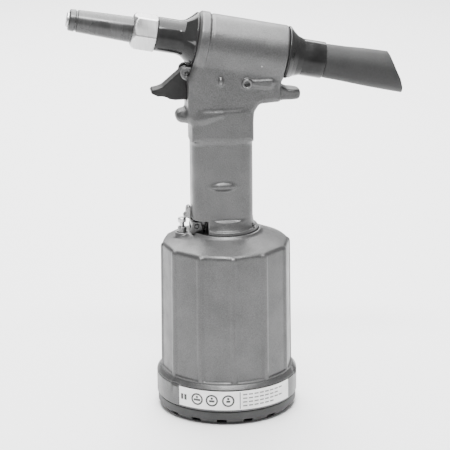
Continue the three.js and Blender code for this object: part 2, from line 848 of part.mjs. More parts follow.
// Blank label: a thin curved band on the left side of the ring.
function labelBand() {
  const inner = RING.radius + 0.25;
  const shape = new THREE.Shape();
  shape.absarc(0, 0, inner + 0.5, LABEL.start, LABEL.end, false);
  shape.absarc(0, 0, inner, LABEL.end, LABEL.start, true);
  const band = extruded(shape, LABEL.top - LABEL.bottom, 0, 14);
  place(object, 'label_band', band.translate(0, 0, LABEL.bottom), PAPER);
}

function baseCover() {
  const { radius, rest, chamfer, height, floor, pocket, slots } = COVER;
  const shape = turnedZ([
    [0, 0],
    [0, rest],
    [chamfer, radius],
    [height, radius],
    [height, pocket],
    [floor, pocket],
    [floor, 0],
  ], LARGE);
  const tools = [];
  for (let i = 0; i < slots; i++) {
    const angle = ((i + 0.5) * Math.PI * 2) / slots;
    tools.push(box(pocket - 3, 70, -4, 4, 1.8, chamfer).rotateZ(angle));
  }
  tools.push(...screwTools(-1, 1.8, 3.6), ...screwTools(-1, 5, 1.8));
  place(object, 'base_cover', geometryOf(cut(solid(shape), ...tools)), BLACK);
  const pad = solid(turnedZ(sleeve(floor + GAP, RING.bottom - GAP, 8, pocket - 0.6), LARGE));
  place(object, 'silencer_pad', geometryOf(cut(pad, ...screwTools(0, 20, 1.8))), RUBBER);
  SCREW_ANGLES.forEach((angle, i) => {
    const screw = turnedZ([[0.3, 0], [0.3, 3.2], [1.5, 3.2], [1.5, 1.5], [15, 1.5], [15, 0]], 16);
    screw.translate(SCREW_REACH * Math.cos(angle), SCREW_REACH * Math.sin(angle), 0);
    place(object, `base_screw_${i + 1}`, screw, STEEL);
  });
}

endPlate();
baseRing();
labelBand();
baseCover();

export default object;
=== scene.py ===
"""Looks of the air over oil rivet gun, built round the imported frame.

Sizes are in millimetres in the frame's axes and become metres when a mesh is made. "along" is the
distance along the head's axis, positive towards the rear. The head is canted nose up.
"""

import json
import math

import bmesh
import bpy
import numpy as np
from mathutils import Matrix, Vector


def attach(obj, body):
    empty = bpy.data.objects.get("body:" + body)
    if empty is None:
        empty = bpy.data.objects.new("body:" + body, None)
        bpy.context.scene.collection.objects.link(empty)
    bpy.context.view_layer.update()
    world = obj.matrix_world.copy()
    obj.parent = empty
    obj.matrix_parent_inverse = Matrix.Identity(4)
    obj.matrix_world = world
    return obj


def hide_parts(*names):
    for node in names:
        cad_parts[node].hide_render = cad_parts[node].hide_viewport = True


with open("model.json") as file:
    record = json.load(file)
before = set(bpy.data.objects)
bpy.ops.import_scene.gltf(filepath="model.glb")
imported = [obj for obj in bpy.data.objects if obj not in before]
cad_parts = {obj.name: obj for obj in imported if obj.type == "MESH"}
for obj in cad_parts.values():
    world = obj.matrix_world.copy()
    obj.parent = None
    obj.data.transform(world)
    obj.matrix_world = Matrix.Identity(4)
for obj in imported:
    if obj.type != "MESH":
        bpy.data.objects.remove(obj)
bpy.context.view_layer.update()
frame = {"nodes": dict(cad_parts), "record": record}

MM = 0.001
CANT = math.radians(11)
HEAD_Z = 315.1
GAP = 0.3
HEAD = Matrix.Translation((0, 0, HEAD_Z)) @ Matrix.Rotation(CANT, 4, "Y")
UPRIGHT = Matrix.Rotation(-math.pi / 2, 4, "Y")

BARREL = dict(front=-24.6, rear=51.5, radius=24.1, bore=20.0, collar=24.9, collar_end=-15.5)
GRIP = dict(front=-29.0, rear=22.5, half=20.0, corner=13.0, bottom=158.0, top=262.0)
FLANGE = dict(radius=27.6, bottom=151.8, top=160.4)
SPIGOT = dict(radius=18.0, bottom=141.6)
PIVOT = dict(x=-31.8, z=293.8, boss=3.9, pin=1.8)
TRIGGER_HALF = 7.7
LINK_X = -19.0
ARM = dict(x=-25.5, z=162.5, hub=4.4, pin=1.6)
VALVE_X = -37.0
NECK = dict(spigot=-65.0, front=-57.0, radius=14.2, thread=12.1)
NUT = dict(front=-77.4, rear=-57.3, flats=27.5, cavity=12.5, turn=math.radians(-23.5))
SLEEVE = dict(front=-129.8, collar=-74.2, rear=-69.0, bore=7.2)
SLEEVE_RADII = dict(tip=8.9, root=10.7, collar=12.2)
BLEED = dict(x=16.7, z=285.6, radius=4.2, face=-22.2)
COVER = dict(radius=59.6, rest=55.0, chamfer=5.0, height=12.1, floor=3.0, pocket=47.5, slots=16)
RING = dict(radius=60.4, bottom=12.4, top=35.5, inner=56.8, lip=53.0)
CYLINDER = dict(bore=50.0, bottom=20.0, ceiling=141.0, shoulder=146.5, hole=18.3)
COLLAR = dict(radius=29.9, top=157.4)
RIBS = dict(count=12, radius=56.5, panel=55.2, width=5.0, shrink=0.98)
SCOOPS = (math.radians(-144), math.radians(-19))  # directions of the ring's two scoops
LABEL_BAND = dict(bottom=14.7, top=31.2, start=math.radians(-48), end=math.radians(52))  # round from -Y
INLET_Z = 124.0
PIN_LUGS = dict(half=12.1, radius=5.6)
BASE_SCREWS = dict(count=3, circle=30.0, radius=1.5, head=3.2, head_length=1.2)
SCOOP = dict(half_angle=0.085, depth=1.9, floor=57.3)


# ---- Camera and studio ----

def camera():
    """A long lens a little above the tool, with the nose turned slightly towards it."""
    azimuth, elevation, roll = (math.radians(v) for v in (-6.6, 16.45, 0.55))
    target = Vector((-0.35, 0, 159.23)) * MM
    level = math.cos(elevation)
    back = Vector((math.sin(azimuth) * level, -math.cos(azimuth) * level, math.sin(elevation)))
    right = Vector((math.cos(azimuth), math.sin(azimuth), 0))
    up = back.cross(right)
    turned_right = right * math.cos(roll) - up * math.sin(roll)
    turned_up = up * math.cos(roll) + right * math.sin(roll)
    data = bpy.data.cameras.new("camera")
    data.lens = 160
    data.sensor_width = 36
    obj = bpy.data.objects.new("camera", data)
    bpy.context.scene.collection.objects.link(obj)
    turn = Matrix((turned_right, turned_up, back)).transposed().to_4x4()
    obj.matrix_world = Matrix.Translation(target + back * 1.7) @ turn
    bpy.context.scene.camera = obj


def area_light(name, place, target, size, power, shape="RECTANGLE", size_y=None):
    data = bpy.data.lights.new(name, "AREA")
    data.shape = shape
    data.size = size
    data.size_y = size_y or size
    data.energy = power
    obj = bpy.data.objects.new(name, data)
    bpy.context.scene.collection.objects.link(obj)
    obj.location = place
    obj.rotation_euler = (Vector(target) - Vector(place)).to_track_quat("-Z", "Y").to_euler()


def studio():
    """A wide flat pale floor, soft lights and a bright sky."""
    size = 30.0
    mesh = bpy.data.meshes.new("floor")
    corners = [(-size, -size, 0), (size, -size, 0), (size, size, 0), (-size, size, 0)]
    mesh.from_pydata(corners, [], [(0, 1, 2, 3)])
    floor = bpy.data.objects.new("floor", mesh)
    bpy.context.scene.collection.objects.link(floor)
    paper = bpy.data.materials.new("floor_paper")
    paper.use_nodes = True
    shader = paper.node_tree.nodes["Principled BSDF"]
    shader.inputs["Base Color"].default_value = (0.95, 0.95, 0.955, 1)
    shader.inputs["Roughness"].default_value = 0.9
    mesh.materials.append(paper)
    world = bpy.data.worlds.new("studio")
    bpy.context.scene.world = world
    world.use_nodes = True
    sky = world.node_tree.nodes["Background"]
    sky.inputs["Color"].default_value = (1, 1, 1, 1)
    sky.inputs["Strength"].default_value = 0.55
    area_light("softbox", (0, 0.12, 1.4), (0, 0.12, 0), 0.9, 72, size_y=1.8)
    area_light("strip", (-0.05, -0.6, 1.2), (0, 0, 0.3), 0.26, 10, size_y=0.16)
    area_light("backdrop", (0, 1.7, 1.3), (0, 1.6, 0), 1.8, 70, size_y=1.2)


# ---- Meshes ----

def link(name, vertices, faces, material, smooth=40.0):
    """A mesh object from millimetre vertices, smooth apart from edges sharper than the angle."""
    mesh = bpy.data.meshes.new(name)
    mesh.from_pydata([tuple(v) for v in np.asarray(vertices) * MM], [], faces)
    mesh.materials.append(material)
    mesh.shade_smooth()
    mesh.set_sharp_from_angle(angle=math.radians(smooth))
    obj = bpy.data.objects.new(name, mesh)
    bpy.context.scene.collection.objects.link(obj)
    return obj


def finish_piece(obj, body, slot, *nodes):
    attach(obj, body)
    if nodes:
        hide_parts(*nodes)
    return obj


def rounded(points, radius, steps=4):
    """Corners of an outline as arcs. A point with a third value has its own corner radius."""
    result = []
    count = len(points)
    for i, point in enumerate(points):
        corner = np.array(point[:2], float)
        before = np.array(points[i - 1][:2], float) - corner
        after = np.array(points[(i + 1) % count][:2], float) - corner
        wanted = point[2] if len(point) > 2 else radius
        la, lb = np.linalg.norm(before), np.linalg.norm(after)
        if wanted <= 0 or la < 1e-6 or lb < 1e-6:
            result.append(tuple(corner))
            continue
        ua, ub = before / la, after / lb
        half = math.acos(max(-1, min(1, float(ua @ ub)))) / 2
        if half > math.radians(87):
            result.append(tuple(corner))
            continue
        reach = min(wanted / math.tan(half), 0.45 * la, 0.45 * lb)
        arc = reach * math.tan(half)
        centre = corner + (ua + ub) / np.linalg.norm(ua + ub) * (arc / math.sin(half))
        start, end = corner + ua * reach - centre, corner + ub * reach - centre
        sweep = math.atan2(start[0] * end[1] - start[1] * end[0], start @ end)
        for k in range(steps + 1):
            t = sweep * k / steps
            c, s = math.cos(t), math.sin(t)
            x, y = start[0] * c - start[1] * s, start[0] * s + start[1] * c
            result.append((centre[0] + x, centre[1] + y))
    return result


def turned(name, profile, material, place=HEAD, sides=96, soften=0.35, shape=None):
    """A turned piece from [along, radius] points, closed on itself or on the axis.

    shape(along, radius, angle) may move the points; angle 0 is towards local +Z.
    """
    closed = profile[0][1] > 0
    if not closed:
        ends = (profile[0][:2], profile[-1][:2])
        profile = [(*profile[0][:2], 0), *profile[1:-1], (*profile[-1][:2], 0)]
    outline = rounded(profile, soften)
    area = sum(a[0] * b[1] - b[0] * a[1] for a, b in zip(outline, outline[1:] + outline[:1]))
    if area > 0:
        outline.reverse()
    rows = len(outline)
    vertices, faces = [], []
    for j in range(sides):
        angle = 2 * math.pi * j / sides
        for along, radius in outline:
            if shape:
                along, radius = shape(along, radius, angle)
            vertices.append(place @ Vector((along, -radius * math.sin(angle), radius * math.cos(angle))))
    for j in range(sides):
        a, b = j * rows, ((j + 1) % sides) * rows
        for i in range(rows if closed else rows - 1):
            k = (i + 1) % rows
            corners = [a + i, a + k, b + k, b + i]
            if not closed and i == 0:
                corners = [0, a + k, b + k]
            if not closed and k == rows - 1:
                corners = [a + i, rows - 1, b + i]
            faces.append(corners)
    obj = link(name, vertices, faces, material)
    clean(obj)
    return obj


def clean(obj):
    """Joins doubled points and drops loose ones."""
    work = bmesh.new()
    work.from_mesh(obj.data)
    bmesh.ops.remove_doubles(work, verts=work.verts, dist=1e-7)
    loose = [v for v in work.verts if not v.link_faces]
    bmesh.ops.delete(work, geom=loose, context="VERTS")
    bmesh.ops.recalc_face_normals(work, faces=work.faces)
    work.to_mesh(obj.data)
    work.free()
    obj.data.set_sharp_from_angle(angle=math.radians(40))


# ---- Fields: solids as signed distances, joined with fillets and meshed ----

class Field:
    """Distances on a grid in millimetres, negative inside."""

    def __init__(self, low, high, step):
        self.low = np.array(low, float)
        self.step = step
        counts = [int(math.ceil((b - a) / step)) + 1 for a, b in zip(low, high)]
        steps = (np.arange(n, dtype=np.float32) * np.float32(step) for n in counts)
        x, y, z = (np.float32(a) + run for a, run in zip(low, steps))
        self.x, self.y, self.z = x[:, None, None], y[None, :, None], z[None, None, :]
        self.shape = tuple(counts)
        self.value = np.full(self.shape, 1e3, np.float32)

    def join(self, other, fillet=0.0):
        self.value = smooth_min(self.value, other, fillet)

    def cut(self, other, fillet=0.25):
        self.value = -smooth_min(-self.value, other, fillet)

    def mesh(self, name, material, place=None):
        vertices, faces = surface(self.value, self.low, self.step)
        if place is not None:
            turn = np.array(place.to_3x3())
            vertices = vertices @ turn.T + np.array(place.translation)
        return link(name, vertices, faces, material, smooth=180)


def smooth_min(a, b, fillet):
    if fillet <= 0:
        return np.minimum(a, b)
    blend = np.maximum(fillet - np.abs(a - b), 0)
    return np.minimum(a, b) - blend * blend / (4 * fillet)


def polygon(px, py, points):
    """Signed distance in a plane to an outline."""
    best = None
    inside = None
    for (ax, ay), (bx, by) in zip(points, points[1:] + points[:1]):
        ex, ey = bx - ax, by - ay
        wx, wy = px - ax, py - ay
        t = np.clip((wx * ex + wy * ey) / (ex * ex + ey * ey), 0, 1)
        d = (wx - ex * t) ** 2 + (wy - ey * t) ** 2
        rising = (ay <= py) & (by > py) & (ex * wy > ey * wx)
        falling = (ay > py) & (by <= py) & (ex * wy < ey * wx)
        flips = rising | falling
        best = d if best is None else np.minimum(best, d)
        inside = flips if inside is None else inside ^ flips
    return np.where(inside, -1, 1) * np.sqrt(best)


def extrude(flat, across, half, edge=0.0):
    """A flat distance given thickness: |across| < half, with rounded edges."""
    out = flat + edge
    side = np.abs(across) - half + edge
    return np.minimum(np.maximum(out, side), 0) + np.hypot(np.maximum(out, 0), np.maximum(side, 0)) - edge


def block(f, x0, x1, y0, y1, z0, z1, edge=0.0):
    dx = np.abs(f.x - (x0 + x1) / 2) - (x1 - x0) / 2 + edge
    dy = np.abs(f.y - (y0 + y1) / 2) - (y1 - y0) / 2 + edge
    dz = np.abs(f.z - (z0 + z1) / 2) - (z1 - z0) / 2 + edge
    outside = np.sqrt(np.maximum(dx, 0) ** 2 + np.maximum(dy, 0) ** 2 + np.maximum(dz, 0) ** 2)
    return outside + np.minimum(np.maximum(np.maximum(dx, dy), dz), 0) - edge


def rod(f, start, end, radius, edge=0.0):
    """A straight round rod between two points."""
    a, b = np.array(start, float), np.array(end, float)
    length = np.linalg.norm(b - a)
    u = (b - a) / length
    wx, wy, wz = f.x - a[0], f.y - a[1], f.z - a[2]
    along = wx * u[0] + wy * u[1] + wz * u[2]
    off = np.sqrt(np.maximum(wx * wx + wy * wy + wz * wz - along * along, 0))
    return extrude(off - radius, along - length / 2, length / 2, edge)


def blob(f, centre, size):
    """An ellipsoid, near enough to a distance for joining."""
    q = [(axis - c) / s for axis, c, s in zip((f.x, f.y, f.z), centre, size)]
    length = np.sqrt(q[0] ** 2 + q[1] ** 2 + q[2] ** 2)
    return (length - 1) * min(size)


def surface(value, low, step):
    """Surface nets: one point in each cell that the surface crosses, at the mean of the crossings on the
    cell's edges.
    """
    inside = value < 0
    corners = [(i, j, k) for i in (0, 1) for j in (0, 1) for k in (0, 1)]
    nx, ny, nz = (n - 1 for n in value.shape)
    total = np.zeros((nx, ny, nz), np.uint8)
    for i, j, k in corners:
        total += inside[i:nx + i, j:ny + j, k:nz + k]
    cells = np.argwhere((total > 0) & (total < 8))
    number = np.full((nx, ny, nz), -1, np.int32)
    number[tuple(cells.T)] = np.arange(len(cells))
    at = {c: value[tuple((cells + c).T)] for c in corners}
    points = np.zeros((len(cells), 3))
    hits = np.zeros(len(cells))
    for a in corners:
        for axis in range(3):
            if a[axis]:
                continue
            b = tuple(v + (n == axis) for n, v in enumerate(a))
            va, vb = at[a], at[b]
            crossed = (va < 0) != (vb < 0)
            t = np.where(crossed, va / np.where(crossed, va - vb, 1), 0)
            place = np.tile(np.array(a, float), (len(cells), 1))
            place[:, axis] += t
            points += place * crossed[:, None]
            hits += crossed
    vertices = (cells + points / hits[:, None]) * step + low
    faces = []
    for axis in range(3):
        u, v = (axis + 1) % 3, (axis + 2) % 3
        here = [slice(None)] * 3
        there = [slice(None)] * 3
        here[axis], there[axis] = slice(0, -1), slice(1, None)
        first, second = inside[tuple(here)], inside[tuple(there)]
        edges = np.argwhere(first != second)
        last_u, last_v = value.shape[u] - 1, value.shape[v] - 1
        keep = (edges[:, u] > 0) & (edges[:, v] > 0) & (edges[:, u] < last_u) & (edges[:, v] < last_v)
        edges = edges[keep]
        rising = first[tuple(edges.T)]
        ring = []
        for du, dv in ((0, 0), (-1, 0), (-1, -1), (0, -1)):
            cell = edges.copy()
            cell[:, u] += du
            cell[:, v] += dv
            ring.append(number[tuple(cell.T)])
        quads = np.stack(ring, 1)
        quads[~rising] = quads[~rising][:, ::-1]
        faces.append(quads)
    return vertices, np.concatenate(faces).tolist()


def head_frame(f):
    """Distance along the head's axis and the upward offset from it."""
    c, s = math.cos(CANT), math.sin(CANT)
    along = c * f.x - s * (f.z - HEAD_Z)
    up = s * f.x + c * (f.z - HEAD_Z)
    return along, up


def ridged(position, stations, radii):
    return np.interp(position, stations, radii).astype(np.float32)


# ---- Materials ----

class Nodes:
    """Short calls for building one material's node tree."""

    def __init__(self, name, metallic=0.0, roughness=0.5, **fixed):
        self.material = bpy.data.materials.new(name)
        self.material.use_nodes = True
        self.tree = self.material.node_tree
        self.shader = self.tree.nodes["Principled BSDF"]
        self.shader.inputs["Metallic"].default_value = metallic
        self.shader.inputs["Roughness"].default_value = roughness
        for key, value in fixed.items():
            self.shader.inputs[key.replace("_", " ")].default_value = value
        self.where = self.tree.nodes.new("ShaderNodeTexCoord").outputs["Object"]

    def stretched(self, scale, turn=0.0):
        """Object coordinates scaled along each axis, turned about Y first."""
        node = self.tree.nodes.new("ShaderNodeMapping")
        node.vector_type = "POINT"
        node.inputs["Rotation"].default_value = (0, turn, 0)
        node.inputs["Scale"].default_value = scale
        self.tree.links.new(self.where, node.inputs["Vector"])
        return node.outputs["Vector"]

    def noise(self, scale, detail=3.0, rough=0.5, where=None):
        node = self.tree.nodes.new("ShaderNodeTexNoise")
        node.inputs["Scale"].default_value = scale
        node.inputs["Detail"].default_value = detail
        node.inputs["Roughness"].default_value = rough
        self.tree.links.new(where or self.where, node.inputs["Vector"])
        return node.outputs["Fac"]

    def cells(self, scale, where=None):
        node = self.tree.nodes.new("ShaderNodeTexVoronoi")
        node.inputs["Scale"].default_value = scale
        self.tree.links.new(where or self.where, node.inputs["Vector"])
        return node.outputs["Distance"]

    def ramp(self, value, *stops):
        """Stops are (position, grey or colour)."""
        node = self.tree.nodes.new("ShaderNodeValToRGB")
        band = node.color_ramp
        while len(band.elements) < len(stops):
            band.elements.new(0.5)
        for element, (position, tone) in zip(band.elements, stops):
            element.position = position
            element.color = (*tone, 1) if isinstance(tone, tuple) else (tone, tone, tone, 1)
        self.tree.links.new(value, node.inputs["Fac"])
        return node.outputs["Color"]

    def mix(self, amount, a, b, mode="MIX"):
        node = self.tree.nodes.new("ShaderNodeMix")
        node.data_type = "RGBA"
        node.blend_type = mode
        if isinstance(amount, float):
            node.inputs["Factor"].default_value = amount
        else:
            self.tree.links.new(amount, node.inputs["Factor"])
        self.tree.links.new(a, node.inputs["A"])
        self.tree.links.new(b, node.inputs["B"])
        return node.outputs["Result"]

    def edges(self):
        """Bright on convex edges: rubbed wear, and in the cast metal also a painted highlight."""
        node = self.tree.nodes.new("ShaderNodeNewGeometry")
        return self.ramp(node.outputs["Pointiness"], (0.515, 0.0), (0.6, 1.0))

    def bump(self, height, strength, distance, normal=None):
        node = self.tree.nodes.new("ShaderNodeBump")
        node.inputs["Strength"].default_value = strength
        node.inputs["Distance"].default_value = distance
        self.tree.links.new(height, node.inputs["Height"])
        if normal:
            self.tree.links.new(normal, node.inputs["Normal"])
        return node.outputs["Normal"]

    def set(self, **sockets):
        for key, value in sockets.items():
            self.tree.links.new(value, self.shader.inputs[key.replace("_", " ")])
        return self.material


def cast_metal():
    """Bead-blasted cast aluminium: fine pits, cloudy tone, and edges lightened partly by rubbed wear and
    partly as a painted highlight.
    """
    n = Nodes("cast_aluminium", metallic=0.75)
    cloud = n.noise(28, 4)
    grain = n.noise(1400, 2)
    tone = n.mix(0.35, n.ramp(cloud, (0.3, 0.07), (0.7, 0.11)), n.ramp(grain, (0.3, 0.045), (0.7, 0.15)))
    # convex edges about three times lighter: partly rubbed wear, partly a painted highlight along ribs and
    # rims
    edge_lightened = n.mix(n.edges(), tone, n.ramp(cloud, (0.0, 0.22), (1.0, 0.3)))
    pits = n.bump(n.cells(900), 0.22, 0.0004)
    skin = n.bump(n.noise(160, 3), 0.25, 0.0006, pits)
    return n.set(Base_Color=edge_lightened, Roughness=n.ramp(n.noise(90, 4), (0.3, 0.36), (0.75, 0.5)), Normal=skin)


def machined(name, dark, light, rough=(0.22, 0.36), turn=CANT, metallic=1.0):
    """Turned metal: fine marks round the axis, light handling smears."""
    n = Nodes(name, metallic=metallic)
    marks = n.noise(60, 2, where=n.stretched((60, 1.2, 1.2), turn))
    smear = n.noise(70, 4)
    tone = n.mix(0.4, n.ramp(marks, (0.3, dark), (0.7, light)), n.ramp(smear, (0.3, dark), (0.7, light)))
    edge_lightened = n.mix(n.edges(), tone, n.ramp(smear, (0.0, min(1.0, light * 1.35)), (1.0, min(1.0, light * 1.5))))
    gloss = n.ramp(smear, (0.3, rough[0]), (0.7, rough[1]))
    return n.set(Base_Color=edge_lightened, Roughness=gloss, Normal=n.bump(marks, 0.08, 0.0002))


def black_oxide(name, tone, rough):
    """Blackened steel with an oily gloss and slightly worn edges."""
    n = Nodes(name, metallic=0.05, Coat_Weight=0.1, Coat_Roughness=0.06, Specular_IOR_Level=0.16)
    smear = n.noise(60, 5)
    base = n.ramp(smear, (0.3, tone), (0.75, tone * 2.4))
    edge_lightened = n.mix(n.edges(), base, n.ramp(smear, (0.0, 0.05), (1.0, 0.14)))
    fine = n.bump(n.noise(500, 3, where=n.stretched((8, 1, 1), CANT)), 0.1, 0.0002)
    return n.set(Base_Color=edge_lightened, Roughness=n.ramp(smear, (0.3, rough[0]), (0.7, rough[1])), Normal=fine)


def rubber(name, dark, light, rough=(0.5, 0.66), bloom=600):
    """Moulded rubber: matt, with a dusty bloom and a fine skin."""
    n = Nodes(name, Specular_IOR_Level=0.28)
    cloud = n.noise(45, 5)
    dust = n.noise(bloom, 2)
    tone = n.mix(0.3, n.ramp(cloud, (0.3, dark), (0.75, light)), n.ramp(dust, (0.35, dark), (0.7, light)))
    skin = n.bump(n.noise(900, 2), 0.18, 0.0003)
    gloss = n.ramp(cloud, (0.3, rough[0]), (0.7, rough[1]))
    return n.set(Base_Color=tone, Roughness=gloss, Normal=n.bump(cloud, 0.15, 0.001, skin))


def label_film():
    """White printed film, a little scuffed and yellowed by oil."""
    n = Nodes("label_film", Coat_Weight=0.3, Coat_Roughness=0.2)
    scuff = n.noise(120, 6)
    tone = n.ramp(scuff, (0.3, (0.86, 0.86, 0.85)), (0.5, (0.8, 0.8, 0.79)), (0.8, (0.7, 0.69, 0.67)))
    gloss = n.ramp(scuff, (0.3, 0.35), (0.7, 0.55))
    return n.set(Base_Color=tone, Roughness=gloss, Normal=n.bump(scuff, 0.05, 0.0003))


def print_ink(name, dark, light):
    n = Nodes(name, Coat_Weight=0.2)
    wear = n.noise(400, 4)
    tone = n.ramp(wear, (0.35, dark), (0.8, light))
    return n.set(Base_Color=tone, Roughness=n.ramp(wear, (0.3, 0.4), (0.7, 0.6)))


def brass():
    n = Nodes("brass", metallic=1.0)
    smear = n.noise(80, 5)
    tone = n.ramp(smear, (0.3, (0.52, 0.36, 0.16)), (0.7, (0.7, 0.53, 0.27)))
    gloss = n.ramp(smear, (0.3, 0.25), (0.7, 0.42))
    return n.set(Base_Color=tone, Roughness=gloss, Normal=n.bump(n.noise(700), 0.05, 0.0002))


def felt():
    n = Nodes("felt", Sheen_Weight=0.4)
    fibre = n.noise(1500, 6, 0.8)
    tone = n.ramp(fibre, (0.3, 0.2), (0.7, 0.42))
    gloss = n.ramp(fibre, (0.3, 0.85), (0.7, 1.0))
    return n.set(Base_Color=tone, Roughness=gloss, Normal=n.bump(fibre, 0.8, 0.001))


CAST = cast_metal()
STEEL = machined("steel", 0.4, 0.62, (0.26, 0.4))
DULL_STEEL = machined("dull_steel", 0.2, 0.34, (0.3, 0.45), turn=0.0)
BLACK = black_oxide("black_oxide", 0.008, (0.1, 0.2))
SLEEVE_STEEL = machined("sleeve_steel", 0.03, 0.07, (0.2, 0.34), metallic=0.5)
DARK_PIN = machined("dark_pin", 0.05, 0.12, (0.25, 0.4), turn=0.0)
TRIGGER_BLACK = black_oxide("trigger_black", 0.01, (0.3, 0.45))
RUBBER = rubber("deflector_rubber", 0.014, 0.028)
SEAL = rubber("seal_rubber", 0.012, 0.025, (0.35, 0.5))
BASE_BLACK = rubber("base_plastic", 0.03, 0.055, (0.42, 0.6), 1200)
LABEL = label_film()
INK = print_ink("label_ink", 0.012, 0.06)
GREY_INK = print_ink("label_grey_ink", 0.1, 0.22)
BRASS = brass()
FELT = felt()

SLOT_MATERIALS = {
    "cast_aluminium": CAST,
    "steel": STEEL,
    "black_steel": BLACK,
    "dark_steel": DULL_STEEL,
    "trigger_black": TRIGGER_BLACK,
    "rubber": RUBBER,
    "seal_rubber": SEAL,
    "base_black": BASE_BLACK,
    "label_white": LABEL,
    "felt": FELT,
    "brass": BRASS,
}


def dress_cad_nodes():
    """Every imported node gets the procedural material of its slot."""
    for part in frame["record"]["subparts"]:
        data = frame["nodes"][part["node"]].data
        data.materials.clear()
        data.materials.append(SLOT_MATERIALS[part["material_slot"]])


# ---- Head and grip casting ----

def web_outline():
    return rounded([
        (GRIP["front"], 236), (GRIP["rear"], 236), (GRIP["rear"], 252), (23.2, 260.5, 6), (27.5, 267.2, 5),
        (45.2, 268.5, 2), (45.2, 280), (48.5, 298), (20, 306), (-22, 312), (-31.5, 291, 3), (-32, 288),
        (-32, 258, 3), (GRIP["front"], 250, 4),
    ], 0)


def casting():
    f = Field((-44, -35.6, 139.6), (68, 35.6, 345.4), 0.6)
    along, up = head_frame(f)
    radius = np.hypot(up, f.y)
    rear = BARREL["rear"]
    end = BARREL["collar_end"]
    stations = [-24.6, -22.2, end, end + 0.5, end + 2.1, end + 3.0, rear - 1.4, rear]
    collar, tube = BARREL["collar"], BARREL["radius"]
    radii = [22.4, collar, collar, 23.6, 23.5, tube, tube, tube - 1.2]
    past_ends = np.maximum(BARREL["front"] - along, along - rear)
    barrel = np.maximum(radius - ridged(along, stations, radii), past_ends)
    front, back, half = GRIP["front"], GRIP["rear"], GRIP["half"]
    corners = [(front, -half), (back, -half), (back, half), (front, half)]
    grip_flat = polygon(f.x, f.y, rounded(corners, GRIP["corner"], 24))
    middle = (GRIP["top"] + GRIP["bottom"]) / 2
    grip = extrude(grip_flat, f.z - middle, (GRIP["top"] - GRIP["bottom"]) / 2, 1.0)
    web = extrude(polygon(f.x, f.z, web_outline()), f.y, GRIP["half"] - 0.4, 4.5)
    f.value = grip
    f.join(web, 4)
    f.join(spur(f), 4)
    f.join(barrel, 3)
    f.join(foot(f), 2.5)
    f.join(finger_guard(f), 3.5)
    lug_ends = [(PIVOT["x"], side * PIN_LUGS["half"], PIVOT["z"]) for side in (-1, 1)]
    f.join(rod(f, *lug_ends, PIN_LUGS["radius"], 0.8), 2.2)
    x, z = BLEED["x"], BLEED["z"]
    f.join(rod(f, (x, 0, z), (x, BLEED["face"], z), BLEED["radius"], 0.9), 1.8)
    wedge = rounded([(x - 2, z - 1.8), (37, z - 4.6, 2), (40, z + 2.6, 2), (x - 2, z + 2.2)], 0)
    f.join(np.maximum(extrude(polygon(f.x, f.z, wedge), f.y, 20.9, 1.6), f.y), 2.2)
    f.join(blob(f, (-3.9, -19.6, 198.2), (9.2, 2.6, 3.4)), 1.4)
    f.join(blob(f, (-5, -19.3, 288), (2.2, 2.6, 3.6)), 1.2)
    cut_casting(f, along, radius)
    obj = f.mesh("head_and_grip", CAST)
    return finish_piece(obj, "tool", "cast_aluminium", "head_and_grip_casting")


def spur(f):
    """Saddle behind the grip: a tongue with a round end and a sloping top."""
    side = polygon(f.x, f.z, rounded([
        (10, 268), (64.5, 268.2, 4.3), (64.5, 276.2, 4.3), (52, 277.4, 5), (46, 280.5), (10, 280.5)], 0, 8))
    plan = polygon(f.x, f.y, rounded([(8, -10), (64.5, -10, 9.8), (64.5, 10, 9.8), (8, 10)], 0, 12))
    return both(side, plan, 2.4)


def foot(f):
    """Round flange and the flared root of the grip."""
    radius = np.hypot(f.x, f.y)
    low, top = FLANGE["bottom"], FLANGE["top"]
    return polygon_of_revolution(f, radius, [
        (0, SPIGOT["bottom"]), (SPIGOT["radius"], SPIGOT["bottom"]), (SPIGOT["radius"], low),
        (FLANGE["radius"], low), (FLANGE["radius"], top - 0.9), (FLANGE["radius"] - 0.3, top - 0.3),
        (FLANGE["radius"] - 1, top), (26.0, top - 0.2), (25.6, top + 0.1), (24.9, top + 1.2),
        (24.1, top + 3.0), (23.4, top + 5.0), (23.0, 168), (0, 168)])


def finger_guard(f):
    """A rounded nose in front of the grip that runs back as a fading ridge on each side."""
    level = 256.4
    lean = np.interp(f.x, [-42, -20, -6], [0, 0.4, 3.4]).astype(np.float32)
    thick = np.interp(f.x, [-42, -32, -20, -6], [5.0, 5.0, 3.4, 0.6]).astype(np.float32)
    near_side = [(-41.4, -9, 8), (-29, -16.5, 8), (-20, -21.2, 6), (-4, -20.1)]
    far_side = [(x, -y, *corner) for x, y, *corner in reversed(near_side)]
    plan = polygon(f.x, f.y, rounded(near_side + far_side, 0, 8))
    return np.hypot(np.maximum(plan + thick, 0), f.z - level - lean) - thick


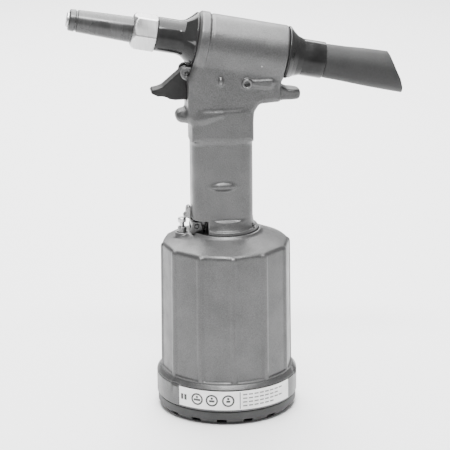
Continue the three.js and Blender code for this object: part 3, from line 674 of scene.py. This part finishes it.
def cut_casting(f, along, radius):
    """Bores, trigger slot, link passage and screw seats, with room for the trigger's swing."""
    x, z = PIVOT["x"], PIVOT["z"]
    slot = TRIGGER_HALF + 0.4
    f.cut(radius - BARREL["bore"], 0.5)
    flare = np.interp(along, [-42, BARREL["front"]], [NECK["radius"] + 2, 23.8]).astype(np.float32)
    f.cut(np.maximum(radius - flare, along - BARREL["front"]))
    f.cut(rod(f, (0, 0, 130), (0, 0, 280.5), 10.8), 0.4)
    f.cut(rod(f, (x, -slot, z), (x, slot, z), PIVOT["boss"] + 0.6))
    f.cut(block(f, -45, -22.4, -slot, slot, 269.5, 291, 0.8))
    f.cut(block(f, -45, -26.8, -slot, slot, 289, 293.6))
    f.cut(block(f, -45, x, -slot, slot, 289, 302))
    f.cut(block(f, -23.5, -13.8, -4, 4, 276.3, 284))
    f.cut(block(f, -23.5, -14.2, -4.2, 4.2, 283, 287.8))
    f.cut(rod(f, (LINK_X, 0, 150), (LINK_X, 0, 280), 2))
    f.cut(block(f, -50, -16.5, -34, 34, 155.4, 168, 1.0), 0.5)
    f.cut(rod(f, (-3, 0, 279), (-20, 0, 299.5), 2.2))
    f.cut(rod(f, (x, -40, z), (x, 40, z), PIVOT["pin"] + 0.2), 0.5)
    f.cut(rod(f, (BLEED["x"], -12, BLEED["z"]), (BLEED["x"], -30, BLEED["z"]), 2.4), 0.6)
    f.cut(rod(f, lock_seat(6), lock_seat(-10), 2.4), 0.4)


def lock_seat(depth):
    """A point on the lock screw's slanting axis, in the flare on the left rear side."""
    angle = math.radians(-30)
    reach = 26.6 - depth * 0.8
    return (reach * math.cos(angle), reach * math.sin(angle), 162.2 - depth * 0.6)


# ---- Air cylinder ----

def cylinder():
    f = Field((-59, -59, 19), (59, 60.5, 159), 0.7)
    c = CYLINDER
    radius = np.hypot(f.x, f.y)
    angle = np.arctan2(f.y, f.x)
    pitch = 2 * math.pi / RIBS["count"]
    offset = (angle + pitch / 2) % pitch - pitch / 2
    taper = np.interp(f.z, [RING["top"], c["shoulder"]], [1, RIBS["shrink"]]).astype(np.float32)
    # A panel is nearly flat: part of the way from a circle to the chord between its ribs.
    chord = math.cos(pitch / 2) / np.cos(np.abs(offset) - pitch / 2)
    panel = RIBS["panel"] * (0.45 + 0.55 * chord) * taper + 0.35
    edge = np.abs(offset) * radius - RIBS["width"] / 2
    rib = both(radius - RIBS["radius"] * taper, edge, 2.2)
    wall = smooth_min(radius - panel, rib, 1.6)
    crown = polygon_of_revolution(f, radius, [
        (0, 0), (60, 0), (60, c["shoulder"] - 1.8), (54.8, c["shoulder"] - 0.6),
        (COLLAR["radius"] + 2.2, COLLAR["top"] - 2.2), (COLLAR["radius"] + 0.5, COLLAR["top"] - 0.8),
        (COLLAR["radius"], COLLAR["top"]), (0, COLLAR["top"])])
    body = both(wall, crown, 2.6)
    body = np.maximum(body, RING["top"] + 1 - f.z)
    skirt = np.maximum(radius - (RING["inner"] - GAP), np.maximum(c["bottom"] - f.z, f.z - RING["top"] - 1.5))
    f.value = smooth_min(body, skirt, 0.6).astype(np.float32)
    boss_radius = np.interp(f.z, [144, 149, 153, 155.4], [7.6, 7.0, 6.5, 5.9]).astype(np.float32)
    f.join(np.maximum(np.hypot(f.x - VALVE_X, f.y) - boss_radius, np.maximum(144 - f.z, f.z - 155.4)), 1.2)
    f.join(rod(f, (0, 48, INLET_Z), (0, 59.5, INLET_Z), 9.2, 1.2), 4.0)
    f.cut(np.maximum(radius - c["bore"], f.z - c["ceiling"]), 1.0)
    f.cut(radius - c["hole"], 0.4)
    f.cut(np.maximum(radius - FLANGE["radius"] - 0.6, FLANGE["bottom"] - GAP - f.z), 0.3)
    f.cut(block(f, -33.5, -16, -13, 13, 155.2, 200, 0.6), 0.4)
    f.cut(np.hypot(f.x - VALVE_X, f.y) - 4.5, 0.5)
    f.cut(rod(f, (0, 0, INLET_Z), (0, 80, INLET_Z), 6.3), 0.4)
    obj = f.mesh("air_cylinder_shell", CAST)
    return finish_piece(obj, "tool", "cast_aluminium", "air_cylinder")


def polygon_of_revolution(f, radius, outline):
    """Signed distance of an outline in (radius, height), turned about Z."""
    steps = np.arange(0, 90, 0.2, dtype=np.float32)
    table = polygon(steps[:, None], f.z[0, 0][None, :], outline)
    index = radius[:, :, 0] / 0.2
    base = np.clip(index.astype(int), 0, len(steps) - 2)
    part = (index - base)[:, :, None]
    return (table[base] * (1 - part) + table[base + 1] * part).astype(np.float32)


# ---- Head: glands, nut, nose and deflector ----

def flat_below(limit, start, end):
    """Keeps a turned shape above a flat underside between two stations."""
    def move(along, radius, angle):
        drop = -math.cos(angle)
        if start <= along <= end and drop > 0.05:
            radius = min(radius, limit / drop)
        return along, radius
    return move


def glands():
    front = turned("front_gland_body", [
        (NECK["spigot"], 9.3), (NECK["spigot"], NECK["thread"]), (NECK["front"], NECK["thread"]),
        (NECK["front"], NECK["radius"], 0.6), (-44, NECK["radius"]), (-38.7, NECK["radius"], 6),
        (-34.5, 15.4, 5), (-29.5, 19.6, 5), (-26.2, 23, 0.8), (-24.9, 23), (-24.9, 19.7), (-18.2, 19.7),
        (-18.2, 12), (-23, 12), (-23, 9.3)],
        BLACK, sides=128)
    finish_piece(front, "tool", "black_steel", "front_gland")
    rear = turned("rear_gland_body", [
        (44, 12), (44, 19.7), (51.8, 19.7), (51.8, 23.8, 0.5), (53.4, 23.8, 0.8), (57, 20.2, 5), (61, 17, 5),
        (66, 15.3, 1), (72, 15.3), (84.5, 15.3, 0.5), (84.5, 12.2), (96, 12.2), (96, 9.3), (48.6, 9.3),
        (48.6, 12)],
        BLACK, sides=192, shape=flat_below(16.8, 51.8, 66.4))
    finish_piece(rear, "tool", "black_steel", "rear_gland")


def hexagon(a, b, across_flats):
    """Distance to a hexagon with two flats across the first coordinate."""
    sides = [np.abs(a * math.cos(t) + b * math.sin(t)) for t in (0, math.pi / 3, 2 * math.pi / 3)]
    return np.maximum(np.maximum(sides[0], sides[1]), sides[2]) - across_flats / 2


def both(a, b, edge):
    """The common part of two solids, with its shared edge rounded."""
    return -smooth_min(-a, -b, edge)


def hex_nut():
    front, rear, corner = NUT["front"], NUT["rear"], NUT["flats"] / math.sqrt(3)
    f = Field((front - 1.6, -17, -17), (rear + 1.6, 17, 17), 0.28)
    radius = np.hypot(f.y, f.z)
    c, s = math.cos(NUT["turn"]), math.sin(NUT["turn"])
    flats = hexagon(f.y * c + f.z * s, f.z * c - f.y * s, NUT["flats"])
    stations = [front - 1, front, front + 3.2, rear - 1.1, rear]
    cone = radius - ridged(f.x, stations, [11.6, 12.6, corner + 0.2, corner + 0.2, corner - 1.2])
    body = both(both(flats, cone, 0.9), np.maximum(front - f.x, f.x - rear), 0.7)
    f.value = body.astype(np.float32)
    f.cut(radius - SLEEVE_RADII["root"] - 0.5, 0.4)
    f.cut(np.maximum(radius - NUT["cavity"], front + 2.9 - f.x))
    finish_piece(f.mesh("hex_nut_body", STEEL, HEAD), "tool", "steel", "hex_nut")


def nose():
    front, collar, rear, bore = SLEEVE["front"], SLEEVE["collar"], SLEEVE["rear"], SLEEVE["bore"]
    tip_radius, root = SLEEVE_RADII["tip"], SLEEVE_RADII["root"]
    sleeve = turned("nose_sleeve_body", [
        (front, 5), (front, tip_radius - 0.8, 0.3), (front + 0.8, tip_radius, 0.5),
        (front + 5, tip_radius + 0.25, 0.2), (front + 5.4, tip_radius - 0.5, 0.2),
        (front + 6.6, tip_radius - 0.5, 0.2), (front + 7, tip_radius + 0.35, 0.3), (NUT["front"], root),
        (collar, root), (collar, SLEEVE_RADII["collar"]), (rear, SLEEVE_RADII["collar"]), (rear, bore),
        (-121, bore), (-121, 5)], SLEEVE_STEEL, soften=0.15)
    finish_piece(sleeve, "tool", "dark_steel", "nose_sleeve")
    lip = front - GAP
    end = front - 1.9
    tip = turned("nose_tip_body", [
        (-121.4, 1.8), (-121.4, 4.7), (lip, 4.7), (lip, 6.2, 0.2), (end + 0.5, 6.2, 0.3), (end, 5.4, 0.3),
        (end, 1.8)],
        STEEL, sides=64, soften=0.1)
    finish_piece(tip, "tool", "steel", "nose_tip")


def deflector():
    """Soft tube whose mouth is cut on a rounded slant."""
    mouth_up = [-24, -17, -8, 0, 8.6, 16.6, 24]
    mouth_end = [156.6, 156.3, 153.6, 149.8, 143.6, 136.4, 133.4]

    def slant(along, radius, angle):
        reach = 104.0
        if along <= reach:
            return along, radius
        end = float(np.interp(15.4 * math.cos(angle), mouth_up, mouth_end))
        return reach + (along - reach) * (end - reach) / (156.0 - reach), radius

    obj = turned("deflector_tube", [
        (84.8, 12.5), (84.8, 13.9, 0.4), (85.6, 14.2, 0.4), (102, 14.6, 6), (110, 15.0), (116, 15.25),
        (124, 15.6, 6), (132, 15.8), (140, 16.0), (148, 16.1), (156, 16.2, 1.1), (156, 13.9, 1.1),
        (148, 13.7), (140, 13.4), (132, 13.2), (124, 13.0), (114, 12.75), (104, 12.5)],
        RUBBER, place=HEAD @ Matrix.Rotation(math.radians(10), 4, "X"), sides=160, soften=0.3, shape=slant)
    finish_piece(obj, "deflector_body", "rubber", "deflector")


# ---- Trigger and throttle ----

def quadratic(start, control, end, steps=6):
    points = []
    for i in range(1, steps + 1):
        t = i / steps
        s = 1 - t
        points.append(tuple(s ** 2 * a + 2 * t * s * b + t * t * c for a, b, c in zip(start, control, end)))
    return points


def arc(x, z, rx, rz, start, end, steps=12):
    turns = [start + (end - start) * i / steps for i in range(steps + 1)]
    return [(x + rx * math.cos(t), z + rz * math.sin(t)) for t in turns]


def crosswise(x, z):
    """Turns a piece's own axis to lie along Y through (x, z)."""
    return Matrix.Translation((x, 0, z)) @ Matrix.Rotation(math.pi / 2, 4, "Z")


def trigger():
    x, z = PIVOT["x"], PIVOT["z"]
    f = Field((-64, -8.6, 269.6), (-16, 8.6, 299), 0.34)
    outline = [(x - 2.9, z + 3.3), (-51.2, 283.2)]
    outline += quadratic((-51.2, 283.2), (-54, 281), (-60.4, 280.2))
    outline += quadratic((-60.4, 280.2), (-62.6, 278.6), (-60.8, 276.6))
    outline += [(-56, 274.3)] + quadratic((-56, 274.3), (-50, 274.6), (-46.5, 271.8))
    outline += [(-42, 270.9), (-27, 271.2), (-26.6, 277.6), (-17.2, 278), (-17.2, 282), (-25.2, 283),
        (x + 3.3, z - 2)]
    outline += arc(x, z, PIVOT["boss"], PIVOT["boss"], -0.4, math.pi * 0.72)[1:]
    f.value = extrude(polygon(f.x, f.z, outline), f.y, TRIGGER_HALF, 1.1).astype(np.float32)
    f.cut(np.hypot(f.x - x, f.z - z) - (PIVOT["pin"] + GAP), 0.5)
    for near, far in ((3.6, 30), (-30, -3.6)):
        f.cut(block(f, -25.6, 0, near, far, 260, 286), 0.3)
    f.cut(block(f, -23.8, 0, -2, 2, 260, 286), 0.3)
    finish_piece(f.mesh("trigger_lever", TRIGGER_BLACK), "trigger_body", "trigger_black", "trigger")
    end, pin_radius = 11.4, PIVOT["pin"]
    pin = turned("trigger_pivot_pin", [(-end, 0), (-end, pin_radius, 0.4), (end, pin_radius, 0.4), (end, 0)],
                 DARK_PIN, place=crosswise(x, z), sides=32)
    finish_piece(pin, "tool", "steel", "trigger_pin")


def trigger_link():
    turns = [i * 0.8 * math.pi / 10 for i in range(11)]
    ball = [(158.1 - 2.3 * math.cos(t), 2.3 * math.sin(t)) for t in turns]
    ball[0] = (155.8, 0)
    shank = [(161, 1.5), (220, 1.5), (282.6, 1.5), (282.6, 3.2), (285, 3.2), (285, 0)]
    obj = turned("trigger_link_rod", ball + shank, STEEL,
                 place=Matrix.Translation((LINK_X, 0, 0)) @ UPRIGHT, sides=32, soften=0.15)
    finish_piece(obj, "trigger_link_body", "steel", "trigger_link")


def throttle_arm():
    x, z = ARM["x"], ARM["z"]
    f = Field((-37.5, -9, 156.5), (-16.4, 9, 179.5), 0.26)
    neck = [(x - 2.6, z + 3), (-29.4, 168), (-29.4, 176)]
    neck += arc(-31.4, 173.9, 2.5, 4.4, 0.6, math.pi * 1.1)
    neck += arc(-34.4, 169.6, 1.6, 1.6, math.pi * 0.8, math.pi * 1.6, 6)
    neck += [(-31.4, 167.2), (x - 3.9, z + 1)]
    f.value = extrude(polygon(f.x, f.z, neck), f.y, 3.5, 0.9).astype(np.float32)
    f.join(rod(f, (x, -8.4, z), (x, 8.4, z), ARM["hub"], 0.5), 0.8)
    f.join(block(f, x, -17.4, -3.6, 3.6, z - 1.8, z + 1.8, 0.4), 0.5)
    f.cut(np.hypot(f.x - x, f.z - z) - ARM["pin"] - GAP, 0.3)
    f.cut(block(f, LINK_X - 2.1, 0, -1.9, 1.9, 150, 170), 0.3)
    finish_piece(f.mesh("throttle_lever", DULL_STEEL), "throttle_arm_body", "steel", "throttle_arm")


def arm_bracket():
    x, z, pin = ARM["x"], ARM["z"], ARM["pin"]
    f = Field((-32, -12.4, 155), (-18, 12.4, 167.4), 0.3)
    ear = [(x - 4.6, 155.8), (x + 5.4, 155.8), (x + 5.4, 160), (x + 3.4, 166.4), (x - 3.4, 166.4),
        (x - 4.6, 160)]
    f.value = extrude(polygon(f.x, f.z, rounded(ear, 1.4)), f.y, 11.5, 0.4).astype(np.float32)
    f.cut(block(f, -60, 60, -8.7, 8.7, 157.4, 300), 0.4)
    f.cut(np.hypot(f.x - x, f.z - z) - pin - 0.2)
    f.cut(block(f, LINK_X - 3.4, 0, -4, 4, 150, 160), 0.3)
    finish_piece(f.mesh("throttle_bracket", DARK_PIN), "tool", "dark_steel", "arm_bracket")
    end = 12.2
    obj = turned("throttle_pivot_pin", [(-end, 0), (-end, pin, 0.3), (end, pin, 0.3), (end, 0)],
                 DARK_PIN, place=crosswise(x, z), sides=32)
    finish_piece(obj, "tool", "steel", "throttle_arm_pin")


def throttle_valve():
    place = Matrix.Translation((VALVE_X, 0, 0)) @ UPRIGHT
    body = turned("valve_sleeve", [
        (124, 1.2), (124, 4.2), (153, 4.2), (153, 3.7), (159.8, 3.7, 0.4), (159.8, 2.9), (157.4, 2.9),
        (157.4, 2.3), (141, 2.3), (141, 3.2), (126, 3.2),
        (126, 1.2)], DULL_STEEL, place=place, sides=64, soften=0.15)
    finish_piece(body, "tool", "steel", "valve_body")
    stem = turned("valve_push_stem", [
        (137.4, 0), (137.4, 2.9), (140.2, 2.9), (140.2, 2), (163.8, 2), (163.8, 3.5, 0.3), (167, 3.5, 0.7),
        (167.6, 2.9, 0.4), (167.6, 0)],
        STEEL, place=place, sides=64, soften=0.15)
    finish_piece(stem, "valve_stem_body", "steel", "valve_stem")


# ---- Base ----

def scooped(along, radius, angle):
    """Two shallow scoops in the ring's upper edge, one near each end of the label."""
    for middle in SCOOPS:
        turn = math.atan2(-math.sin(angle), -math.cos(angle)) - middle
        off = math.remainder(turn, 2 * math.pi) / SCOOP["half_angle"]
        if radius > 57.5 and along > 29.5 and abs(off) < 1:
            radius -= min(SCOOP["depth"], radius - SCOOP["floor"]) * (1 - off * off)
    return along, radius


def base_ring():
    bottom, top, radius, inner, lip = (RING[key] for key in ("bottom", "top", "radius", "inner", "lip"))
    groove = 59.6
    obj = turned("base_ring_body", [
        (bottom, lip), (bottom, groove, 0.6), (13.2, radius, 0.6), (22, radius), (29.2, radius),
        (30.9, radius, 0.3), (31.1, groove, 0.2), (31.8, groove, 0.2), (32.1, 60.3, 0.5), (35.3, 57.3, 0.6),
        (top, inner), (15.2, inner), (15.2, lip)], CAST, place=UPRIGHT, sides=256, soften=0.25, shape=scooped)
    finish_piece(obj, "tool", "cast_aluminium", "base_ring")


def base_screw_places():
    """Centres of the screws under the base, the first one on the side away from the label."""
    count, circle = BASE_SCREWS["count"], BASE_SCREWS["circle"]
    turns = [i * 2 * math.pi / count + math.pi / 2 for i in range(count)]
    return [(circle * math.cos(turn), circle * math.sin(turn)) for turn in turns]


def base_cover():
    f = Field((-60.6, -60.6, -1), (60.6, 60.6, 13), 0.5)
    radius = np.hypot(f.x, f.y)
    c = COVER
    rim = rounded([
        (c["rest"], 0, 1), (c["radius"], c["chamfer"], 1.5), (c["radius"], c["height"]),
        (c["pocket"], c["height"]), (c["pocket"], c["floor"])], 0.5)[1:-1]
    outline = [(0, 0)] + rim + [(c["pocket"], c["floor"]), (0, c["floor"])]
    f.value = polygon_of_revolution(f, radius, outline)
    for i in range(c["slots"]):
        turn = (i + 0.5) * 2 * math.pi / c["slots"]
        out = f.x * math.cos(turn) + f.y * math.sin(turn)
        side = -f.x * math.sin(turn) + f.y * math.cos(turn)
        gap = np.maximum(np.maximum(np.abs(side) - 4, np.abs(f.z - 3.4) - 1.6), c["pocket"] - 3 - out)
        f.cut(gap, 0.6)
    for x, y in base_screw_places():
        off = np.hypot(f.x - x, f.y - y)
        f.cut(np.maximum(off - 3.6, f.z - 1.8))
        f.cut(off - 1.8)
    finish_piece(f.mesh("base_cover_body", BASE_BLACK), "tool", "base_black", "base_cover")


def strip(low_u, high_u, low_v, high_v, step=1.0):
    """A rectangle as a run of lines across it."""
    count = max(1, math.ceil((high_u - low_u) / step))
    runs = [low_u + (high_u - low_u) * i / count for i in range(count + 1)]
    return [((u, low_v), (u, high_v)) for u in runs], False


def hoop(u, v, inner, outer, steps=48):
    """A flat ring as a closed run of lines across it."""
    turns = [2 * math.pi * i / steps for i in range(steps)]
    return [tuple((u + r * math.cos(t), v + r * math.sin(t)) for r in (inner, outer)) for t in turns], True


def wrapped(name, patches, lift, thick, material):
    """Flat patches (arc length from -Y, height) as thin skins round the base ring."""
    vertices, faces = [], []
    for lines, closed in patches:
        start, count = len(vertices), len(lines)
        for near, far in lines:
            for radius, (u, v) in ((lift, near), (lift + thick, near), (lift + thick, far), (lift, far)):
                angle = -math.pi / 2 + u / RING["radius"]
                vertices.append((radius * math.cos(angle), radius * math.sin(angle), v))
        for i in range(count if closed else count - 1):
            a, b = start + 4 * i, start + 4 * ((i + 1) % count)
            for k in range(4):
                faces.append([a + k, a + (k + 1) % 4, b + (k + 1) % 4, b + k])
        if not closed:
            end = start + 4 * (count - 1)
            faces += [[start + 3, start + 2, start + 1, start], [end, end + 1, end + 2, end + 3]]
    obj = link(name, vertices, faces, material)
    clean(obj)
    return obj


def label():
    """Film with plain printing: a mark, three rings, a divider and bars, with no words."""
    band = LABEL_BAND
    low, high = band["start"] * RING["radius"], band["end"] * RING["radius"]
    lift, thick, ink = RING["radius"] + 0.25, 0.5, 0.06
    film = wrapped("label_film", [strip(low, high, band["bottom"], band["top"])], lift, thick, LABEL)
    finish_piece(film, "tool", "label_white", "label_band")
    middle = (band["bottom"] + band["top"]) / 2
    print_lift = lift + thick - 0.02
    marks = [strip(low + 2 + 3.4 * i, low + 4.4 + 3.4 * i, middle - 2.6, middle + 2.4, 0.8) for i in range(2)]
    for centre, width in ((-32.8, 3.0), (-19.8, 2.4), (-6.0, 1.7)):
        marks.append(hoop(centre, middle, 3.8, 5.3))
        marks.append(strip(centre - width, centre + width, middle - 1.5, middle + 0.4, 0.6))
        marks.append(hoop(centre, middle + 1.9, 0.1, 1.1, 20))
    marks.append(strip(3.6, 4.3, band["bottom"] + 0.8, band["top"] - 0.8))
    rings = wrapped("label_marks", marks, print_lift, ink, INK)
    finish_piece(rings, "tool", "base_black")
    rows = []
    for i, reach in enumerate((41, 38, 43, 30)):
        height = band["top"] - 3.2 - 3.3 * i
        for k in range(int(reach / 5)):
            rows.append(strip(6.4 + 5 * k, 10.2 + 5 * k, height - 0.6, height + 0.6))
    finish_piece(wrapped("label_bars", rows, print_lift, ink, GREY_INK), "tool", "base_black")


# ---- Small parts ----

def along_axis(start, end):
    a, b = Vector(start), Vector(end)
    return Matrix.Translation(a) @ (b - a).to_track_quat("X", "Z").to_matrix().to_4x4(), (b - a).length


def socket_screw(name, start, end, radius, body, node, head=None, material=None):
    """A screw from its tip to its driving end, with a hexagon socket."""
    place, length = along_axis(start, end)
    head_radius, head_length = head or (radius, 0)
    reach = max(radius, head_radius) + 1
    f = Field((-1, -reach, -reach), (length + 1, reach, reach), 0.2)
    off = np.hypot(f.y, f.z)
    neck = length - head_length
    body_shape = off - ridged(f.x, [0, 0.6, neck, neck + 0.05], [radius - 0.5, radius, radius, head_radius])
    f.value = np.maximum(body_shape, np.maximum(-f.x, f.x - length)).astype(np.float32)
    socket = hexagon(f.y, f.z, min(radius, head_radius) * 1.1)
    f.cut(np.maximum(socket, length - min(head_length or 2, 2) * 0.7 - f.x), 0.15)
    finish_piece(f.mesh(name, material or STEEL, place), body, "steel", node)


def fasteners():
    x, z = BLEED["x"], BLEED["z"]
    socket_screw("bleed_plug", (x, -12.4, z), (x, -20.4, z), 2.1, "tool", "bleed_screw", material=DARK_PIN)
    socket_screw("flange_lock_screw", lock_seat(5.6), lock_seat(1.2), 2.0, "tool", "lock_screw",
                 material=DARK_PIN)
    s = BASE_SCREWS
    for i, (x, y) in enumerate(base_screw_places(), 1):
        socket_screw(f"base_cap_screw_{i}", (x, y, 15), (x, y, 0.3), s["radius"], "tool", f"base_screw_{i}",
                     head=(s["head"], s["head_length"]))


def air_inlet():
    place = crosswise(0, INLET_Z)
    f = Field((50, -9.4, -9.4), (75.6, 9.4, 9.4), 0.3)
    off = np.hypot(f.y, f.z)
    pipe = off - ridged(f.x, [50.6, 61, 61.1, 70, 70.1, 75], [6, 6, 5, 5, 5.6, 5])
    f.value = np.maximum(pipe, np.maximum(50.6 - f.x, f.x - 75)).astype(np.float32)
    f.join(both(both(hexagon(f.y, f.z, 15.07), off - 8.4, 0.4), np.abs(f.x - 63.4) - 3.5, 0.4), 0.2)
    f.cut(off - 3, 0.3)
    finish_piece(f.mesh("inlet_nipple", BRASS, place), "tool", "brass", "air_inlet_nipple")


INNER = [
    # node, body, slot, place, soften, profile of (along, radius)
    ("pull_piston", "pull_piston_unit", "steel", HEAD, 0.3, [
        (-72.5, 2.6), (-72.5, 5.7), (-60, 5.7), (-60, 9), (-17, 9), (-17, 19.7), (-13.5, 19.7), (-13.5, 17),
        (-8.5, 17), (-8.5, 19.7), (-5, 19.7), (-5, 9), (80, 9), (80, 2.6)]),
    ("pull_piston_seal", "pull_piston_unit", "seal_rubber", HEAD, 0.8, [
        (-13.2, 17.3), (-13.2, 19.75), (-8.8, 19.75), (-8.8, 17.3)]),
    ("front_rod_seal", "tool", "seal_rubber", HEAD, 0.6, [
        (-22.7, 9.25), (-22.7, 11.7), (-18.4, 11.7), (-18.4, 9.25)]),
    ("rear_rod_seal", "tool", "seal_rubber", HEAD, 0.6, [
        (44.2, 9.25), (44.2, 11.7), (48.3, 11.7), (48.3, 9.25)]),
    ("collet", "pull_piston_unit", "steel", HEAD, 0.2, [
        (-117.5, 3.4), (-117.5, 5.9), (-116.5, 6.9), (-60.3, 6.9), (-60.3, 6), (-103, 6)]),
    ("jaw_pusher", "jaw_pusher_body", "steel", HEAD, 0.2, [
        (-103.8, 2), (-103.8, 4.4), (-97, 4.4), (-97, 5.6), (-90, 5.6), (-90, 2)]),
    ("oil_tube", "tool", "steel", UPRIGHT, 0.3, [(158.5, 8.3), (158.5, 10.5), (280, 10.5), (280, 8.3)]),
    ("rod_gland", "tool", "steel", UPRIGHT, 0.3, [
        (133, 7.8), (133, 24), (135, 26), (140.7, 26), (140.7, 10.5), (158, 10.5), (158, 9.5), (153, 9.5),
        (153, 7.8)]),
    ("rod_seal", "tool", "seal_rubber", UPRIGHT, 0.6, [
        (153.3, 7.75), (153.3, 9.2), (157.7, 9.2), (157.7, 7.75)]),
    ("piston_rod", "air_piston_unit", "steel", UPRIGHT, 0.3, [
        (19.8, 0), (19.8, 5), (42.3, 5), (42.3, 7.5), (166.5, 7.5), (168, 6), (168, 0)]),
    ("air_piston", "air_piston_unit", "cast_aluminium", UPRIGHT, 0.5, [
        (26, 5.3), (26, 16), (30, 18), (30, 40), (26, 42), (26, 49.3), (31, 49.3), (31, 46.5), (37, 46.5),
        (37, 49.3), (42, 49.3), (42, 5.3)]),
    ("piston_ring", "air_piston_unit", "seal_rubber", UPRIGHT, 0.8, [
        (31.3, 46.8), (31.3, 49.6), (36.7, 49.6), (36.7, 46.8)]),
    ("end_plate_seal", "tool", "seal_rubber", UPRIGHT, 0.8, [
        (20.4, 47.7), (20.4, 49.75), (23.2, 49.75), (23.2, 47.7)]),
    ("valve_stem_seal", "tool", "seal_rubber", Matrix.Translation((VALVE_X, 0, 0)) @ UPRIGHT, 0.2, [
        (157.6, 2.2), (157.6, 2.75), (159.7, 2.75), (159.7, 2.2)]),
]


def inner_parts():
    for node, body, slot, place, soften, profile in INNER:
        obj = turned(node + "_turned", profile, SLOT_MATERIALS[slot], place=place, sides=96, soften=soften)
        finish_piece(obj, body, slot, node)


# ---- Build ----

camera()
studio()
dress_cad_nodes()
casting()
cylinder()
glands()
hex_nut()
nose()
deflector()
trigger()
trigger_link()
throttle_arm()
arm_bracket()
throttle_valve()
base_ring()
base_cover()
label()
fasteners()
air_inlet()
inner_parts()
